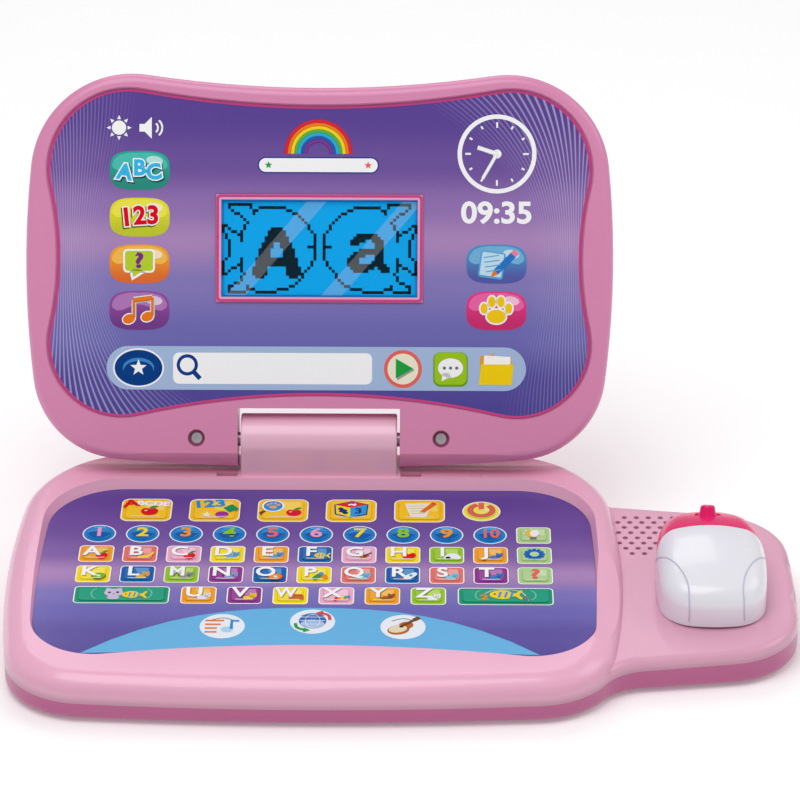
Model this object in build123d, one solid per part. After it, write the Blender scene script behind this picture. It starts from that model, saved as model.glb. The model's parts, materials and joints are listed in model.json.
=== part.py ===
from build123d import *
import os
from math import degrees, radians, tan

# A toy laptop computer: a wedge-shaped base with a key panel and a mouse shelf, and a hinged lid
# with a small display. It is drawn in the deck frame and then stood on its feet.
# Deck frame: X to the right, Y away from the user, Z square to the key panel, origin on the panel at
# the middle of the number row. Lid frame: X to the right, Y up the lid, Z out of its face, origin on
# the hinge axis. All sizes are in millimetres.

os.makedirs("parts", exist_ok=True)

# Stance: the deck leans towards the user, and the whole is centred over the origin.
WEDGE = 4.0
LIFT = 27.13
CENTRE_X = 35.0
CENTRE_Y = 4.3
WALL = 2.5
GAP = 0.2

# Base
BODY_HALF = 126.0
BODY_CORNER_X = 117.0
BODY_REAR = 65.0
BODY_FRONT = -115.0
SEAM = -10.5
RIM_SLOPE = 0.027
RIM_FRONT = 0.4
RIM_EDGE = 9.6
PLATFORM_TOP = -5.5
PLATFORM_EDGE = 3.4
UNDERSIDE_FRONT = -18.0
UNDERSIDE_EDGE = 3.4
FOOT_HEIGHT = 1.5
FOOT_R = 6.0
SHELL_CEILING = -4.5

# Keyboard
PITCH = 18.0
FILM = 0.4
PLATE = 2.0
KEY_PLAY = 0.15
CAP_PROUD = 0.05
KEY_BOTTOM = -3.4
KEY_DOME = 0.6
DOME_INSET = 2.0
FLANGE = 0.9
ROW_1, ROW_2, ROW_3 = -15.95, -31.8, -47.8
TOP_ROW = 19.4
LETTER = (14.7, 13.3)
MODE = (21.6, 18.6)
WIDE = (39.0, 13.3)

# Hinge and lid
AXIS_Y, AXIS_Z = 52.0, 16.0
LID_LEAN = 28.0
BARREL_R = 11.0
BLOCK_HALF = 33.0
BLOCK_FACE = 41.0
NOTCH_HALF = 34.2
NOTCH_TOP = 13.2
PIN_R = 3.0
FACE = 10.5
BACK = -9.5
SPLIT = 2.0
LID_FOOT = -12.0
LID_ROUND = 12.0
PANEL_STEP = 1.5
SCREEN_PLATE = 2.0
FRAME_X, FRAME_LOW, FRAME_HIGH = 43.7, 57.9, 103.5
FRAME_BAR = 2.3

# Mouse
MOUSE_X, MOUSE_Y = 161.3, -27.5
MOUSE_HALF, MOUSE_LONG = 22.2, 34.5
MOUSE_TOP = 17.2
MOUSE_CREST_Y = -28.0
MOUSE_CREST_R = 72.0
MOUSE_FOOT = PLATFORM_TOP + 0.4
CAP_SPLIT = -18.7
CAP_SPLIT_Z = 16.0
CAP_LEAN = 40.0
CAP_FOOT = 6.6
MOUSE_TRAVEL = 3.0
CLICK = 0.5
NUB = (MOUSE_X, -4.3, 13.6)
NUB_LEAN = 25
STEM = 8.0

STAND = Location((-CENTRE_X, -CENTRE_Y, LIFT)) * Rotation(WEDGE, 0, 0)
LID_PLACE = STAND * Location((0, AXIS_Y, AXIS_Z)) * Rotation(90 - LID_LEAN, 0, 0)
AXIS = Location((0, AXIS_Y, AXIS_Z))
FAR = 400.0


def keep(name, shape, place=STAND):
    """Write one sub-part, placed in the row frame."""
    export_step(place * shape, f"parts/{name}.step")


def arcs(corners, middles, radii):
    """A face with one arc per side, and its front pair and rear pair of corners rounded."""
    ends = corners[1:] + corners[:1]
    face = make_face([ThreePointArc(a, m, b) for a, m, b in zip(corners, middles, ends)])
    for corner, radius in zip(corners, (radii[0], radii[0], radii[1], radii[1])):
        face = fillet(face.vertices().sort_by_distance((*corner, 0))[0], radius)
    return face


def inset(face, distance):
    """The outline moved inwards, or outwards when negative, with every round stretch a true arc."""
    sides = []
    for edge in offset(face, -distance).edges():
        ends = (edge @ 0, edge @ 1)
        straight = edge.geom_type == GeomType.LINE
        sides.append(Line(*ends) if straight else ThreePointArc(ends[0], edge @ 0.5, ends[1]))
    return make_face(sides)


def slab(face, low, high):
    """The face pulled through from one height to another."""
    return Pos(0, 0, low) * extrude(face, high - low)


def block(x, y, z):
    """A box between two values on each axis."""
    middle = [(a + b) / 2 for a, b in (x, y, z)]
    return Pos(*middle) * Box(x[1] - x[0], y[1] - y[0], z[1] - z[0])


def rod(radius, x, y, low, high):
    """An upright cylinder."""
    return Pos(x, y, (low + high) / 2) * Cylinder(radius, high - low)


def axle(radius, half):
    """A cylinder along X on the local origin."""
    return Rotation(0, 90, 0) * Cylinder(radius, 2 * half)


def joined(shapes):
    """One node of several separate solids."""
    return Compound(children=[s if isinstance(s, Solid) else s.solids()[0] for s in shapes])


def rim_height(y):
    """The top of the body's rim, which rises towards the hinge."""
    return RIM_FRONT + (y + 108) * RIM_SLOPE


def underside(y):
    """The height of the underside, which is level when the base stands on its feet."""
    return UNDERSIDE_FRONT - (y + 110) * tan(radians(WEDGE))


# Everything below the rim plane, and everything above the plane of the underside.
RIM_TILT = Rotation(degrees(RIM_SLOPE), 0, 0)
UNDER_RIM = Pos(0, 0, rim_height(0)) * RIM_TILT * Pos(0, 0, -FAR / 2) * Box(FAR * 2, FAR * 2, FAR)


def over_underside(lift):
    """All that is above the underside, or above a plane that far over it."""
    above = Pos(0, 0, FAR / 2) * Box(FAR * 2, FAR * 2, FAR)
    return Pos(0, 0, underside(0) + lift) * Rotation(-WEDGE, 0, 0) * above


# Outlines
BODY = arcs(
    [
        (-BODY_CORNER_X, -109),
        (BODY_CORNER_X, -109),
        (BODY_CORNER_X, BODY_REAR),
        (-BODY_CORNER_X, BODY_REAR),
    ],
    [(0, BODY_FRONT), (BODY_HALF, -25), (0, BODY_REAR + 0.8), (-BODY_HALF, -25)],
    (34, 48),
)


def shelf_outline():
    """The mouse shelf, which runs into the body on its left."""
    face = make_face(
        [
            Line((80, -94), (194, -77)),
            ThreePointArc((194, -77), (196.3, -30), (193.5, 26)),
            Line((193.5, 26), (80, 40.5)),
            Line((80, 40.5), (80, -94)),
        ]
    )
    return fillet(face.vertices().sort_by(Axis.X)[2:], 32)


def base_outline():
    """Body and shelf together, with the two inner corners blended."""
    face = BODY + shelf_outline()
    for point, radius in (((118, -88.5), 22), ((116.5, 36), 8)):
        corner = face.vertices().sort_by_distance((*point, 0))[0]
        face = fillet(corner, radius)
    return face


BASE = base_outline()
PANEL = arcs(
    [(-109.3, -97.5), (111.3, -97.5), (112, 36.6), (-110, 36.6)],
    [(0, -85.3), (114.6, -20), (0, 36.7), (-112.4, -20)],
    (26, 31),
)
LID = arcs(
    [(-115.7, -5.3), (115.7, -5.3), (114.7, 161.7), (-114.7, 161.7)],
    [(0, LID_FOOT), (124, 70), (0, 148.5), (-124, 70)],
    (38, 43),
)
SCREEN = arcs(
    [(-146, -13.8), (146, -13.8), (146, 166.2), (-146, 166.2)],
    [(0, 18.7), (110.4, 77), (0, 140.6), (-110.4, 77)],
    (31, 34),
)
MOUSE = Pos(MOUSE_X, MOUSE_Y) * arcs(
    [(-20, -31), (20, -31), (16.8, 32), (-16.8, 32)],
    [(0, -MOUSE_LONG), (MOUSE_HALF, -6), (0, MOUSE_LONG), (-MOUSE_HALF, -6)],
    (15, 15.8),
)


def tile(size, corner):
    """The outline of a key, which is round where its two sizes are equal."""
    if size[0] == size[1]:
        return Circle(size[0] / 2)
    return RectangleRounded(size[0], size[1], corner)


def key_table():
    """The keys in rows, from the top row to the bottom row."""
    table = []
    for i, job in enumerate(("word", "count", "logic", "game", "note")):
        table.append((f"{job}_mode_key", MODE, 3.6, -71.7 + 28.6 * i, TOP_ROW))
    table.append(("power_key", (16.3, 16.3), 8, 68.6, TOP_ROW))
    for i in range(10):
        table.append(("number_keys", (14.2, 14.2), 7, (i - 5) * PITCH, 0))
    for y in (0, ROW_1, ROW_2):
        table.append(("function_keys", LETTER, 2, 5 * PITCH, y))
    for first, y in (("a", ROW_1), ("k", ROW_2)):
        for i in range(10):
            table.append((f"letter_key_{chr(ord(first) + i)}", LETTER, 2, (i - 5) * PITCH, y))
    for i, letter in enumerate("uvwxyz"):
        table.append((f"letter_key_{letter}", LETTER, 2, -46.2 + 18.55 * i, ROW_3))
    table.append(("wide_key_left", WIDE, 2, -77.3, ROW_3))
    table.append(("wide_key_right", WIDE, 2, 77.7, ROW_3))
    return table


KEYS = key_table()


def key(size, corner, x, y):
    """One sprung key: a flange that can't leave the plate, a cap and a low dome."""
    cap = (size[0] - 2 * KEY_PLAY, size[1] - 2 * KEY_PLAY)
    flange = (cap[0] + 2 * FLANGE, cap[1] + 2 * FLANGE)
    dome = (cap[0] - 2 * DOME_INSET, cap[1] - 2 * DOME_INSET)
    body = slab(tile(cap, corner - KEY_PLAY), KEY_BOTTOM, CAP_PROUD)
    body += slab(tile(flange, corner + 0.5), KEY_BOTTOM, -FILM - PLATE - 0.1)
    top = slab(tile(dome, max(corner - DOME_INSET, 1.5)), CAP_PROUD, KEY_DOME)
    top = fillet(top.faces().sort_by(Axis.Z)[-1].edges(), 0.5)
    return Pos(x, y, 0) * (body + top)


def make_keys():
    for name in dict.fromkeys(k[0] for k in KEYS):
        made = [key(*k[1:]) for k in KEYS if k[0] == name]
        keep(name, joined(made) if len(made) > 1 else made[0])


def key_holes(low, high):
    """One cutter through every key opening."""
    faces = [Pos(x, y) * tile(size, corner) for _, size, corner, x, y in KEYS]
    return [slab(face, low, high) for face in faces]


def keyboard_film():
    """The printed sheet on the key plate."""
    return slab(PANEL, -FILM, 0) - key_holes(-FILM - 1, 1)


def keyboard_plate():
    """The stiff plate that guides the keys."""
    return slab(inset(PANEL, GAP), -FILM - PLATE, -FILM) - key_holes(-FILM - PLATE - 1, 1)


def switch_membrane():
    """The rubber switch sheet under the keys."""
    return slab(inset(PANEL, 6), -5.0, -4.2)


SCREWS = [(-60, -101), (60, -101), (-82, 51), (82, 51), (186, 0), (186, -52)]
SCREW_SEAT = -15.6
BOSS_TOP = -14.0
PILOT_TOP = -8.3
FEET = [(-97, -84), (97, -84), (-97, 38), (97, 38), (166, -68), (166, 16)]
SPEAKER_X, SPEAKER_Y, SPEAKER_R = 137.5, 10.0, 17.0
HOLE_PITCH, HOLE_R, HOLES_END = 5.05, 1.15, 152
CELL_R, CELL_L = 7.25, 50.5
CELL_ROWS = (8.0, 23.2, 38.4)
BOX_HALF = 27.5
DOOR_SEAT = 2.4
BOX_LOW, BOX_HIGH = CELL_ROWS[0] - 8.6, CELL_ROWS[-1] + 8.6


def speaker_holes():
    """The staggered rows of sound holes over the speaker, each row as height, first hole and count."""
    rows = [(24.2, 128.8, 5), (20.3, 125.9, 6), (16.2, 128.4, 5), (12.0, 125.9, 6), (7.8, 128.5, 5)]
    rows += [(3.6, 125.9, 5), (-0.6, 128.4, 4), (-4.8, 130.9, 2)]
    spots = [(x + HOLE_PITCH * i, y) for y, x, count in rows for i in range(count)]
    return [rod(HOLE_R, x, y, PLATFORM_TOP - 4, PLATFORM_TOP + 1) for x, y in spots if x < HOLES_END]


def base_top_shell():
    """The pale upper shell: the raised body with the key well, and the low mouse shelf."""
    body = slab(BODY, SEAM, 14) & UNDER_RIM
    body = fillet(body.faces().sort_by(Axis.Z)[-1].edges(), RIM_EDGE)
    shelf = slab(BASE, SEAM, PLATFORM_TOP)
    shelf = fillet(shelf.faces().sort_by(Axis.Z)[-1].edges(), PLATFORM_EDGE)
    shell = body + shelf
    shell -= slab(inset(BASE, WALL), SEAM - 1, PLATFORM_TOP - WALL)
    shell -= slab(inset(BODY, WALL), SEAM - 1, SHELL_CEILING)
    well = inset(PANEL, -0.05)
    shell -= slab(well, -FILM - PLATE, 0)
    shell -= Pos(0, 0, -FILM) * extrude(well, 10, taper=-26)
    shell -= slab(inset(PANEL, 4), SHELL_CEILING - 1, 0)
    trough = AXIS * axle(LID_ROUND + 0.8, 119)
    trough -= block((-BLOCK_HALF - 0.6, BLOCK_HALF + 0.6), (0, 90), (-40, 40))
    shell -= trough
    shell -= Pos(161.5, -57, PLATFORM_TOP + 200 - 0.8) * Sphere(200)
    window = STEM + 2 * (MOUSE_TRAVEL + 0.8)
    shell -= Pos(MOUSE_X, MOUSE_Y, PLATFORM_TOP) * Box(window, window, 12)
    shell -= speaker_holes()
    for side in (-1, 1):
        rail = (MOUSE_Y + side * 16.7 - 0.9, MOUSE_Y + side * 16.7 + 0.9)
        shell += block((MOUSE_X - 20, MOUSE_X + 20), rail, (-12, PLATFORM_TOP - WALL))
        shell -= block(sorted((side * 34.6, side * 43.4)), (40.6, 43.8), (0, 8))
    for x, y in SCREWS:
        top = PLATFORM_TOP - WALL if x > 130 else SHELL_CEILING
        shell += rod(3.5, x, y, BOSS_TOP, top)
        shell -= rod(1.25, x, y, BOSS_TOP - 1, PILOT_TOP)
    return shell


def battery_row(y):
    """The place of one cell, lying along X over the battery door."""
    return Location((0, y, underside(y) + 2.6 + CELL_R)) * Rotation(0, 90, 0)


def tilted(x, y, z):
    """A box between values, with its heights counted square to the underside."""
    middle_y = (y[0] + y[1]) / 2
    place = Location((0, middle_y, underside(middle_y))) * Rotation(-WEDGE, 0, 0)
    return place * block(x, (y[0] - middle_y, y[1] - middle_y), z)


def base_bottom_shell():
    """The deep pink lower shell with the battery box and the screw wells."""
    blank = slab(BASE, -FAR / 8, SEAM) & over_underside(0)
    blank = fillet(blank.faces().sort_by(Axis.Z)[0].edges(), UNDERSIDE_EDGE)
    shell = blank - (slab(inset(BASE, WALL), -FAR / 8, SEAM + 1) & over_underside(WALL))
    shell += tilted((-BOX_HALF - 2, BOX_HALF + 2), (BOX_LOW - 2, BOX_HIGH + 2), (0.5, 20.0))
    shell -= tilted((-BOX_HALF, BOX_HALF), (BOX_LOW, BOX_HIGH), (-5, 18.0))
    shell -= tilted((-BOX_HALF - 2.6, BOX_HALF + 2.6), (BOX_LOW - 2.6, BOX_HIGH + 10.6), (-1, 2.0))
    shell += tilted((-5, 5), (BOX_HIGH + 1.5, BOX_HIGH + 11.2), (2.0, 12.0))
    shell -= door_axis() * Cylinder(4.9, 2 * 3.6)
    shell -= door_axis() * Cylinder(1.25, 2 * 11.0)
    for x, y in SCREWS:
        shell += rod(5.0, x, y, underside(y) + 1, BOSS_TOP)
        shell -= rod(1.6, x, y, underside(y) - 2, BOSS_TOP + 1)
        shell -= rod(3.2, x, y, underside(y) - 2, SCREW_SEAT)
    for x, y in FEET:
        shell -= foot(x, y)
    return shell


def foot(x, y):
    """One rubber foot, let into the underside."""
    place = Location((x, y, underside(y))) * Rotation(-WEDGE, 0, 0)
    pad = Pos(0, 0, -FOOT_HEIGHT / 2 + 0.4) * Cylinder(FOOT_R, FOOT_HEIGHT + 0.8)
    return place * fillet(pad.edges().sort_by(Axis.Z)[0], 0.8)


def battery_door():
    """The cover of the battery box, flush with the underside, held by one screw."""
    door = tilted((-BOX_HALF - 2.4, BOX_HALF + 2.4), (BOX_LOW - 2.4, BOX_HIGH + 10.4), (0, 1.8))
    for i in range(5):
        rib = BOX_LOW + 6 + 2.4 * i
        door -= tilted((-12, 12), (rib, rib + 1.2), (-1, 0.5))
    door += door_axis() * Pos(0, 0, 1.7) * Cylinder(4.6, 3.4)
    door -= door_axis() * Cylinder(1.6, 20)
    return door - door_axis() * Cylinder(3.2, 2 * DOOR_SEAT)


def door_axis():
    """The door screw's axis, square to the underside."""
    y = BOX_HIGH + 5.75
    return Location((0, y, underside(y))) * Rotation(-WEDGE, 0, 0)


def screw():
    """A pan-head screw with its head at the origin, pointing up."""
    head = Pos(0, 0, -0.9) * Cylinder(2.7, 1.8)
    head = fillet(head.edges().sort_by(Axis.Z)[0], 0.7)
    shaft = Pos(0, 0, 3.5) * Cylinder(1.2, 7.0)
    slot = Box(3.0, 0.7, 1.6) + Box(0.7, 3.0, 1.6)
    return head + shaft - Pos(0, 0, -1.8) * slot


def case_screws():
    screws = [Pos(x, y, SCREW_SEAT) * screw() for x, y in SCREWS]
    return joined(screws + [door_axis() * Pos(0, 0, DOOR_SEAT) * screw()])


def battery_cells():
    """Three cells side by side, each with its raised end."""
    body = Cylinder(CELL_R, CELL_L - 1.5)
    body = fillet(body.edges(), 0.6) + Pos(0, 0, CELL_L / 2 - 0.7) * Cylinder(2.7, 1.6)
    turns = [Rotation(0, 0, 0), Rotation(180, 0, 0), Rotation(0, 0, 0)]
    return joined([battery_row(y) * turn * body for y, turn in zip(CELL_ROWS, turns)])


def battery_contacts():
    """A spring plate at each end of each cell."""
    plates = []
    for y in CELL_ROWS:
        z = underside(y) + 2.6 + CELL_R
        for x in (-BOX_HALF + 0.5, BOX_HALF - 0.5):
            plates.append(Pos(x, y, z) * Box(0.8, 10, 10))
    return joined(plates)


def main_board():
    """The circuit board under the keys, with its chip and connectors."""
    board = block((-64, 64), (-78, -10), (-8.0, -6.4))
    board += block((-9, 9), (-50, -32), (-9.8, -8.0))
    board += block((-50, -38), (-26, -20), (-11.5, -8.0))
    return board + block((36, 56), (-26, -18), (-12.0, -8.0))


def speaker():
    """The round speaker under the sound holes."""
    at = Pos(SPEAKER_X, SPEAKER_Y, PLATFORM_TOP - WALL - 0.1)
    body = at * Pos(0, 0, -1.2) * Cylinder(SPEAKER_R, 2.4)
    body += at * Pos(0, 0, -4.9) * Cone(SPEAKER_R - 8, SPEAKER_R - 2, 5)
    return body + at * Pos(0, 0, -9.3) * Cylinder(8, 4)


def hinge_cover():
    """The hinge block on the rear deck: a barrel on the axis with a flat front, bored for the pins."""
    shape = AXIS * axle(BARREL_R, BLOCK_HALF)
    shape += block((-BLOCK_HALF, BLOCK_HALF), (BLOCK_FACE, AXIS_Y + 5), (0, AXIS_Z))
    ends = shape.faces().sort_by(Axis.X)
    shape = fillet(ends[0].edges() + ends[-1].edges(), 0.8)
    shape -= UNDER_RIM
    inside = AXIS * axle(BARREL_R - 2.2, BLOCK_HALF - 8)
    inside += block((8 - BLOCK_HALF, BLOCK_HALF - 8), (BLOCK_FACE + 2.2, AXIS_Y + 2.8), (0, AXIS_Z))
    return shape - inside - AXIS * axle(PIN_R + 0.05, BLOCK_HALF + 1)


def hinge_pins():
    """Two pins, fast in the lid and turning in the hinge block."""
    pins = []
    for side in (-1, 1):
        pins.append(Pos(side * (BLOCK_HALF + 2.5), 0, 0) * axle(PIN_R - 0.02, 9.5))
    return joined(pins)


# The lid
def lid_round(radius):
    """Above the hinge axis everything is kept, below it only what lies near the axis."""
    return axle(radius, FAR / 2) + block((-FAR, FAR), (0, FAR), (-FAR / 4, FAR / 4))


def lid_blank():
    """The whole lid as one solid, with rounded edges, before it is split and hollowed."""
    blank = slab(LID, BACK, FACE)
    blank = fillet(blank.faces().sort_by(Axis.Z)[-1].edges(), 4.0)
    blank = fillet(blank.faces().sort_by(Axis.Z)[0].edges(), 7.0)
    blank &= lid_round(LID_ROUND)
    return blank - block((-NOTCH_HALF, NOTCH_HALF), (-20, NOTCH_TOP), (-20, 20))


def lid_hollow():
    """The space inside the lid."""
    wall = 2.4
    room = slab(inset(LID, wall + 0.4), BACK + wall, FACE - PANEL_STEP - FILM - SCREEN_PLATE)
    room &= lid_round(LID_ROUND - wall)
    edge = NOTCH_HALF + wall
    return room - block((-edge, edge), (-20, NOTCH_TOP + wall), (-20, 20))


LID_BLANK = lid_blank()
LID_ROOM = lid_hollow()
LID_SCREW_X, LID_SCREW_Y = 51.6, 0.6
HEAD_SEAT = 6.0


def lid_bezel():
    """The front of the lid: a recess for the printed sheet and a raised frame round the display."""
    shell = (LID_BLANK & block((-FAR, FAR), (-FAR, FAR), (SPLIT, 30))) - LID_ROOM
    shell -= Pos(0, 0, FACE - PANEL_STEP - FILM) * extrude(inset(SCREEN, -0.15), 8, taper=-20)
    frame = block((-FRAME_X, FRAME_X), (FRAME_LOW, FRAME_HIGH), (FACE - 4.0, FACE - 0.7))
    frame = fillet(frame.faces().sort_by(Axis.Z)[-1].edges(), 0.5)
    shell += frame
    inner = FRAME_X - FRAME_BAR
    shell -= block((-inner, inner), (FRAME_LOW + FRAME_BAR, FRAME_HIGH - FRAME_BAR), (0, 20))
    for x in (-LID_SCREW_X, LID_SCREW_X):
        shell += rod(4.8, x, LID_SCREW_Y, SPLIT, FACE - 3)
        shell -= rod(3.6, x, LID_SCREW_Y, HEAD_SEAT, 20)
        shell -= rod(1.5, x, LID_SCREW_Y, 0, 20)
    return shell - axle(PIN_R, NOTCH_HALF + 14) - axle(6.0, NOTCH_HALF + 12.2)


def lid_back_shell():
    """The back of the lid, with the hinge bosses and the screw posts."""
    shell = (LID_BLANK & block((-FAR, FAR), (-FAR, FAR), (-30, SPLIT))) - LID_ROOM
    for side in (-1, 1):
        middle = side * (NOTCH_HALF + 6.0)
        boss = Pos(middle, 0, 0) * axle(5.8, 6.0)
        web = block((middle - 6, middle + 6), (-4, 4), (BACK + 1, -2))
        shell += boss + (web & LID_BLANK)
        shell += rod(3.6, side * LID_SCREW_X, LID_SCREW_Y, BACK + 1, SPLIT - 0.1)
        shell -= rod(1.25, side * LID_SCREW_X, LID_SCREW_Y, BACK + 3, SPLIT + 1)
    return shell - axle(PIN_R, NOTCH_HALF + 12)


def screen_film():
    """The printed sheet on the lid, open over the display and its frame."""
    window = block((-FRAME_X - GAP, FRAME_X + GAP), (FRAME_LOW - GAP, FRAME_HIGH + GAP), (0, 20))
    return slab(SCREEN, FACE - PANEL_STEP - FILM, FACE - PANEL_STEP) - window


def display_window():
    """The clear cover inside the frame."""
    inner = FRAME_X - FRAME_BAR - 0.05
    low, high = FRAME_LOW + FRAME_BAR + 0.05, FRAME_HIGH - FRAME_BAR - 0.05
    return block((-inner, inner), (low, high), (FACE - 2.6, FACE - 1.6))


def display_module():
    """The liquid crystal module behind the window."""
    glass = block((-40.5, 40.5), (61.1, 100.3), (5.2, 7.7))
    return glass + block((-46, 46), (56, 105), (3.6, 6.0))


def display_board():
    """The small circuit board behind the display."""
    board = block((-50, 50), (48, 108), (1.4, 3.0))
    return board + block((-12, 12), (66, 90), (-0.6, 1.4))


def lid_screws():
    screws = []
    for x in (-LID_SCREW_X, LID_SCREW_X):
        screws.append(Pos(x, LID_SCREW_Y, HEAD_SEAT) * Rotation(180, 0, 0) * screw())
    return joined(screws)


# The mouse
def mouse_dome(depth):
    """The mouse as one solid, crowned over its length, or its inside at some depth."""
    top = MOUSE_TOP - depth
    dome = slab(inset(MOUSE, depth) if depth else MOUSE, MOUSE_FOOT, top)
    dome &= Pos(MOUSE_X, MOUSE_CREST_Y, top - MOUSE_CREST_R) * Sphere(MOUSE_CREST_R)
    crown = dome.edges().filter_by(lambda e: e.center().Z > MOUSE_FOOT + 5 - depth)
    crown = [e for e in crown if e.bounding_box().size.Z < 8]
    return fillet(crown, 9 - depth)


def cap_zone(play, foot):
    """All that lies beyond the slanted line across the mouse and above a height."""
    beyond = Rotation(-CAP_LEAN, 0, 0) * block((0, FAR), (0, FAR), (-FAR, FAR))
    return Pos(0, CAP_SPLIT - play, CAP_SPLIT_Z) * beyond & block((0, FAR), (-FAR, FAR), (foot, FAR))


def mouse_shell():
    """The white hand rest on a square stem, which ends in a collar below the cross slide."""
    shell = mouse_dome(0) - mouse_dome(2.2)
    shell -= cap_zone(0.3, CAP_FOOT - CLICK - 0.15)
    shell += slab(MOUSE, MOUSE_FOOT, MOUSE_FOOT + 1.6) & mouse_dome(0)
    shell += Pos(MOUSE_X, MOUSE_Y, 0) * block((-4, 4), (-4, 4), (-12.2, MOUSE_FOOT + 1.6))
    return shell + rod(6.5, MOUSE_X, MOUSE_Y, -13.4, -12.2)


def mouse_button():
    """The pink cap at the far end of the mouse, with its nub in a shallow ring."""
    cap = (mouse_dome(0) - mouse_dome(2.2)) & cap_zone(0, CAP_FOOT)
    nub = Cone(4.1, 2.8, 7)
    nub = fillet(nub.faces().sort_by(Axis.Z)[-1].edges(), 1.2)
    place = Pos(*NUB) * Rotation(-NUB_LEAN, 0, 0)
    cap -= place * (Cylinder(5.4, 1.8) - Cylinder(3.9, 2))
    return cap + (place * nub - mouse_dome(1.4))


def mouse_slider():
    """The plate that slides left and right under the shelf, with a slot for the stem."""
    top = PLATFORM_TOP - WALL - 0.2
    plate = block((-17, 17), (-15.4, 15.4), (top - 1.6, top))
    slot = block((-4.1, 4.1), (-4.1 - MOUSE_TRAVEL - 0.2, 4.1 + MOUSE_TRAVEL + 0.2), (-20, 0))
    return Pos(MOUSE_X, MOUSE_Y, 0) * (plate - slot)


make_keys()
keep("keyboard_film", keyboard_film())
keep("keyboard_plate", keyboard_plate())
keep("switch_membrane", switch_membrane())
keep("base_top_shell", base_top_shell())
keep("base_bottom_shell", base_bottom_shell())
keep("rubber_feet", joined([foot(x, y) for x, y in FEET]))
keep("battery_door", battery_door())
keep("battery_cells", battery_cells())
keep("battery_contacts", battery_contacts())
keep("case_screws", case_screws())
keep("main_board", main_board())
keep("speaker", speaker())
keep("hinge_cover", hinge_cover())
keep("hinge_pins", hinge_pins(), STAND * AXIS)
keep("lid_bezel", lid_bezel(), LID_PLACE)
keep("lid_back_shell", lid_back_shell(), LID_PLACE)
keep("screen_film", screen_film(), LID_PLACE)
keep("display_window", display_window(), LID_PLACE)
keep("display_module", display_module(), LID_PLACE)
keep("display_board", display_board(), LID_PLACE)
keep("lid_screws", lid_screws(), LID_PLACE)
keep("mouse_shell", mouse_shell())
keep("mouse_button", mouse_button())
keep("mouse_slider", mouse_slider())
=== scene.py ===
"""The looks of a toy laptop computer: plastics, printed sheets, keys, display and studio."""

import json
from math import cos, pi, radians, sin

import bpy
from bpy.props import FloatProperty, FloatVectorProperty, PointerProperty
from mathutils import Matrix, Vector

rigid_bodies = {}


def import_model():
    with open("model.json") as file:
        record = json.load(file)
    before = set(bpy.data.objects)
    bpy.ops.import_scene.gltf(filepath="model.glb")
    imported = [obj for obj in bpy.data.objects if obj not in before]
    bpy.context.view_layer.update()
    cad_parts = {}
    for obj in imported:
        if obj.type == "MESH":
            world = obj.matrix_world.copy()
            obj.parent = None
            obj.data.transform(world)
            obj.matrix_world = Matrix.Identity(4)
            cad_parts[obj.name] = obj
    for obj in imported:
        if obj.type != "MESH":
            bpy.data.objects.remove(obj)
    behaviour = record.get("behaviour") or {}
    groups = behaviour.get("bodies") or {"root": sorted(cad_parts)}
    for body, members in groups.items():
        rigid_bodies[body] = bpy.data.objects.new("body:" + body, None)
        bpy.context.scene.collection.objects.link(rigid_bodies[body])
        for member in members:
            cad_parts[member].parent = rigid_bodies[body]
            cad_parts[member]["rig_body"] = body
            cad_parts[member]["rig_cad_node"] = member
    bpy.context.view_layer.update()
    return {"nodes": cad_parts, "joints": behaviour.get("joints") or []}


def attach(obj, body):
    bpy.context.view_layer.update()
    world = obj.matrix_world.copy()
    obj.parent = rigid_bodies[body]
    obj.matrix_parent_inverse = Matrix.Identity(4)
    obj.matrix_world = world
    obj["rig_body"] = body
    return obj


bl_info = {
    "name": "Toy laptop computer",
    "version": (1, 0, 0),
    "blender": (4, 5, 0),
    "location": "View3D > Sidebar > Toy laptop",
    "description": "Plastics, prints and studio for a toy laptop computer",
    "category": "Object",
}

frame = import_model()
NODES = frame["nodes"]

CAMERA_SPOT = Vector((46.39, -1341.3, 806.9))
CAMERA_PITCH, CAMERA_YAW = radians(28.98), radians(-0.5)

# The two printed surfaces. Both are drawn in millimetres: X to the right, Y away from the user or up
# the lid, Z out of the surface. The deck's origin is the middle of the number row, the lid's is the hinge.
HINGE = Vector(next(j["pos_m"] for j in frame["joints"] if j["name"] == "lid_hinge"))
MM = Matrix.Scale(0.001, 4)
WEDGE = radians(4)
LEAN = radians(66)
HINGE_ON_DECK = Vector((0, 0.052, 0.016))
DECK = Matrix.Translation(HINGE) @ Matrix.Rotation(WEDGE, 4, "X") @ Matrix.Translation(-HINGE_ON_DECK) @ MM
LID = Matrix.Translation(HINGE) @ Matrix.Rotation(LEAN, 4, "X") @ MM
SHEET_TOP = 9.0
FRAME_REACH = (50, 50, 112)
DOME_TOP = 0.6
LAYER = 0.03
CAP_TOP = 0.05
CELLS_LEVEL, SHINE_LEVEL, FRAME_LEVEL = 7.7, 8.9, 9.8
DISPLAY_WIDTH, DISPLAY_HEIGHT, DISPLAY_MIDDLE = 82.6, 40.8, 80.7
OUTLINE = (CAP_TOP + LAYER - DOME_TOP) / LAYER


def rgb(red, green, blue):
    """A colour as a maker reads it off a swatch, from 0 to 255, made linear."""
    shares = [v / 255 for v in (red, green, blue)]
    return tuple(v / 12.92 if v <= 0.04045 else ((v + 0.055) / 1.055) ** 2.4 for v in shares)


def tint(name, swatch, about):
    return FloatVectorProperty(
        name=name, description=about, subtype="COLOR", size=3, min=0, max=1, default=rgb(*swatch)
    )


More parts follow.
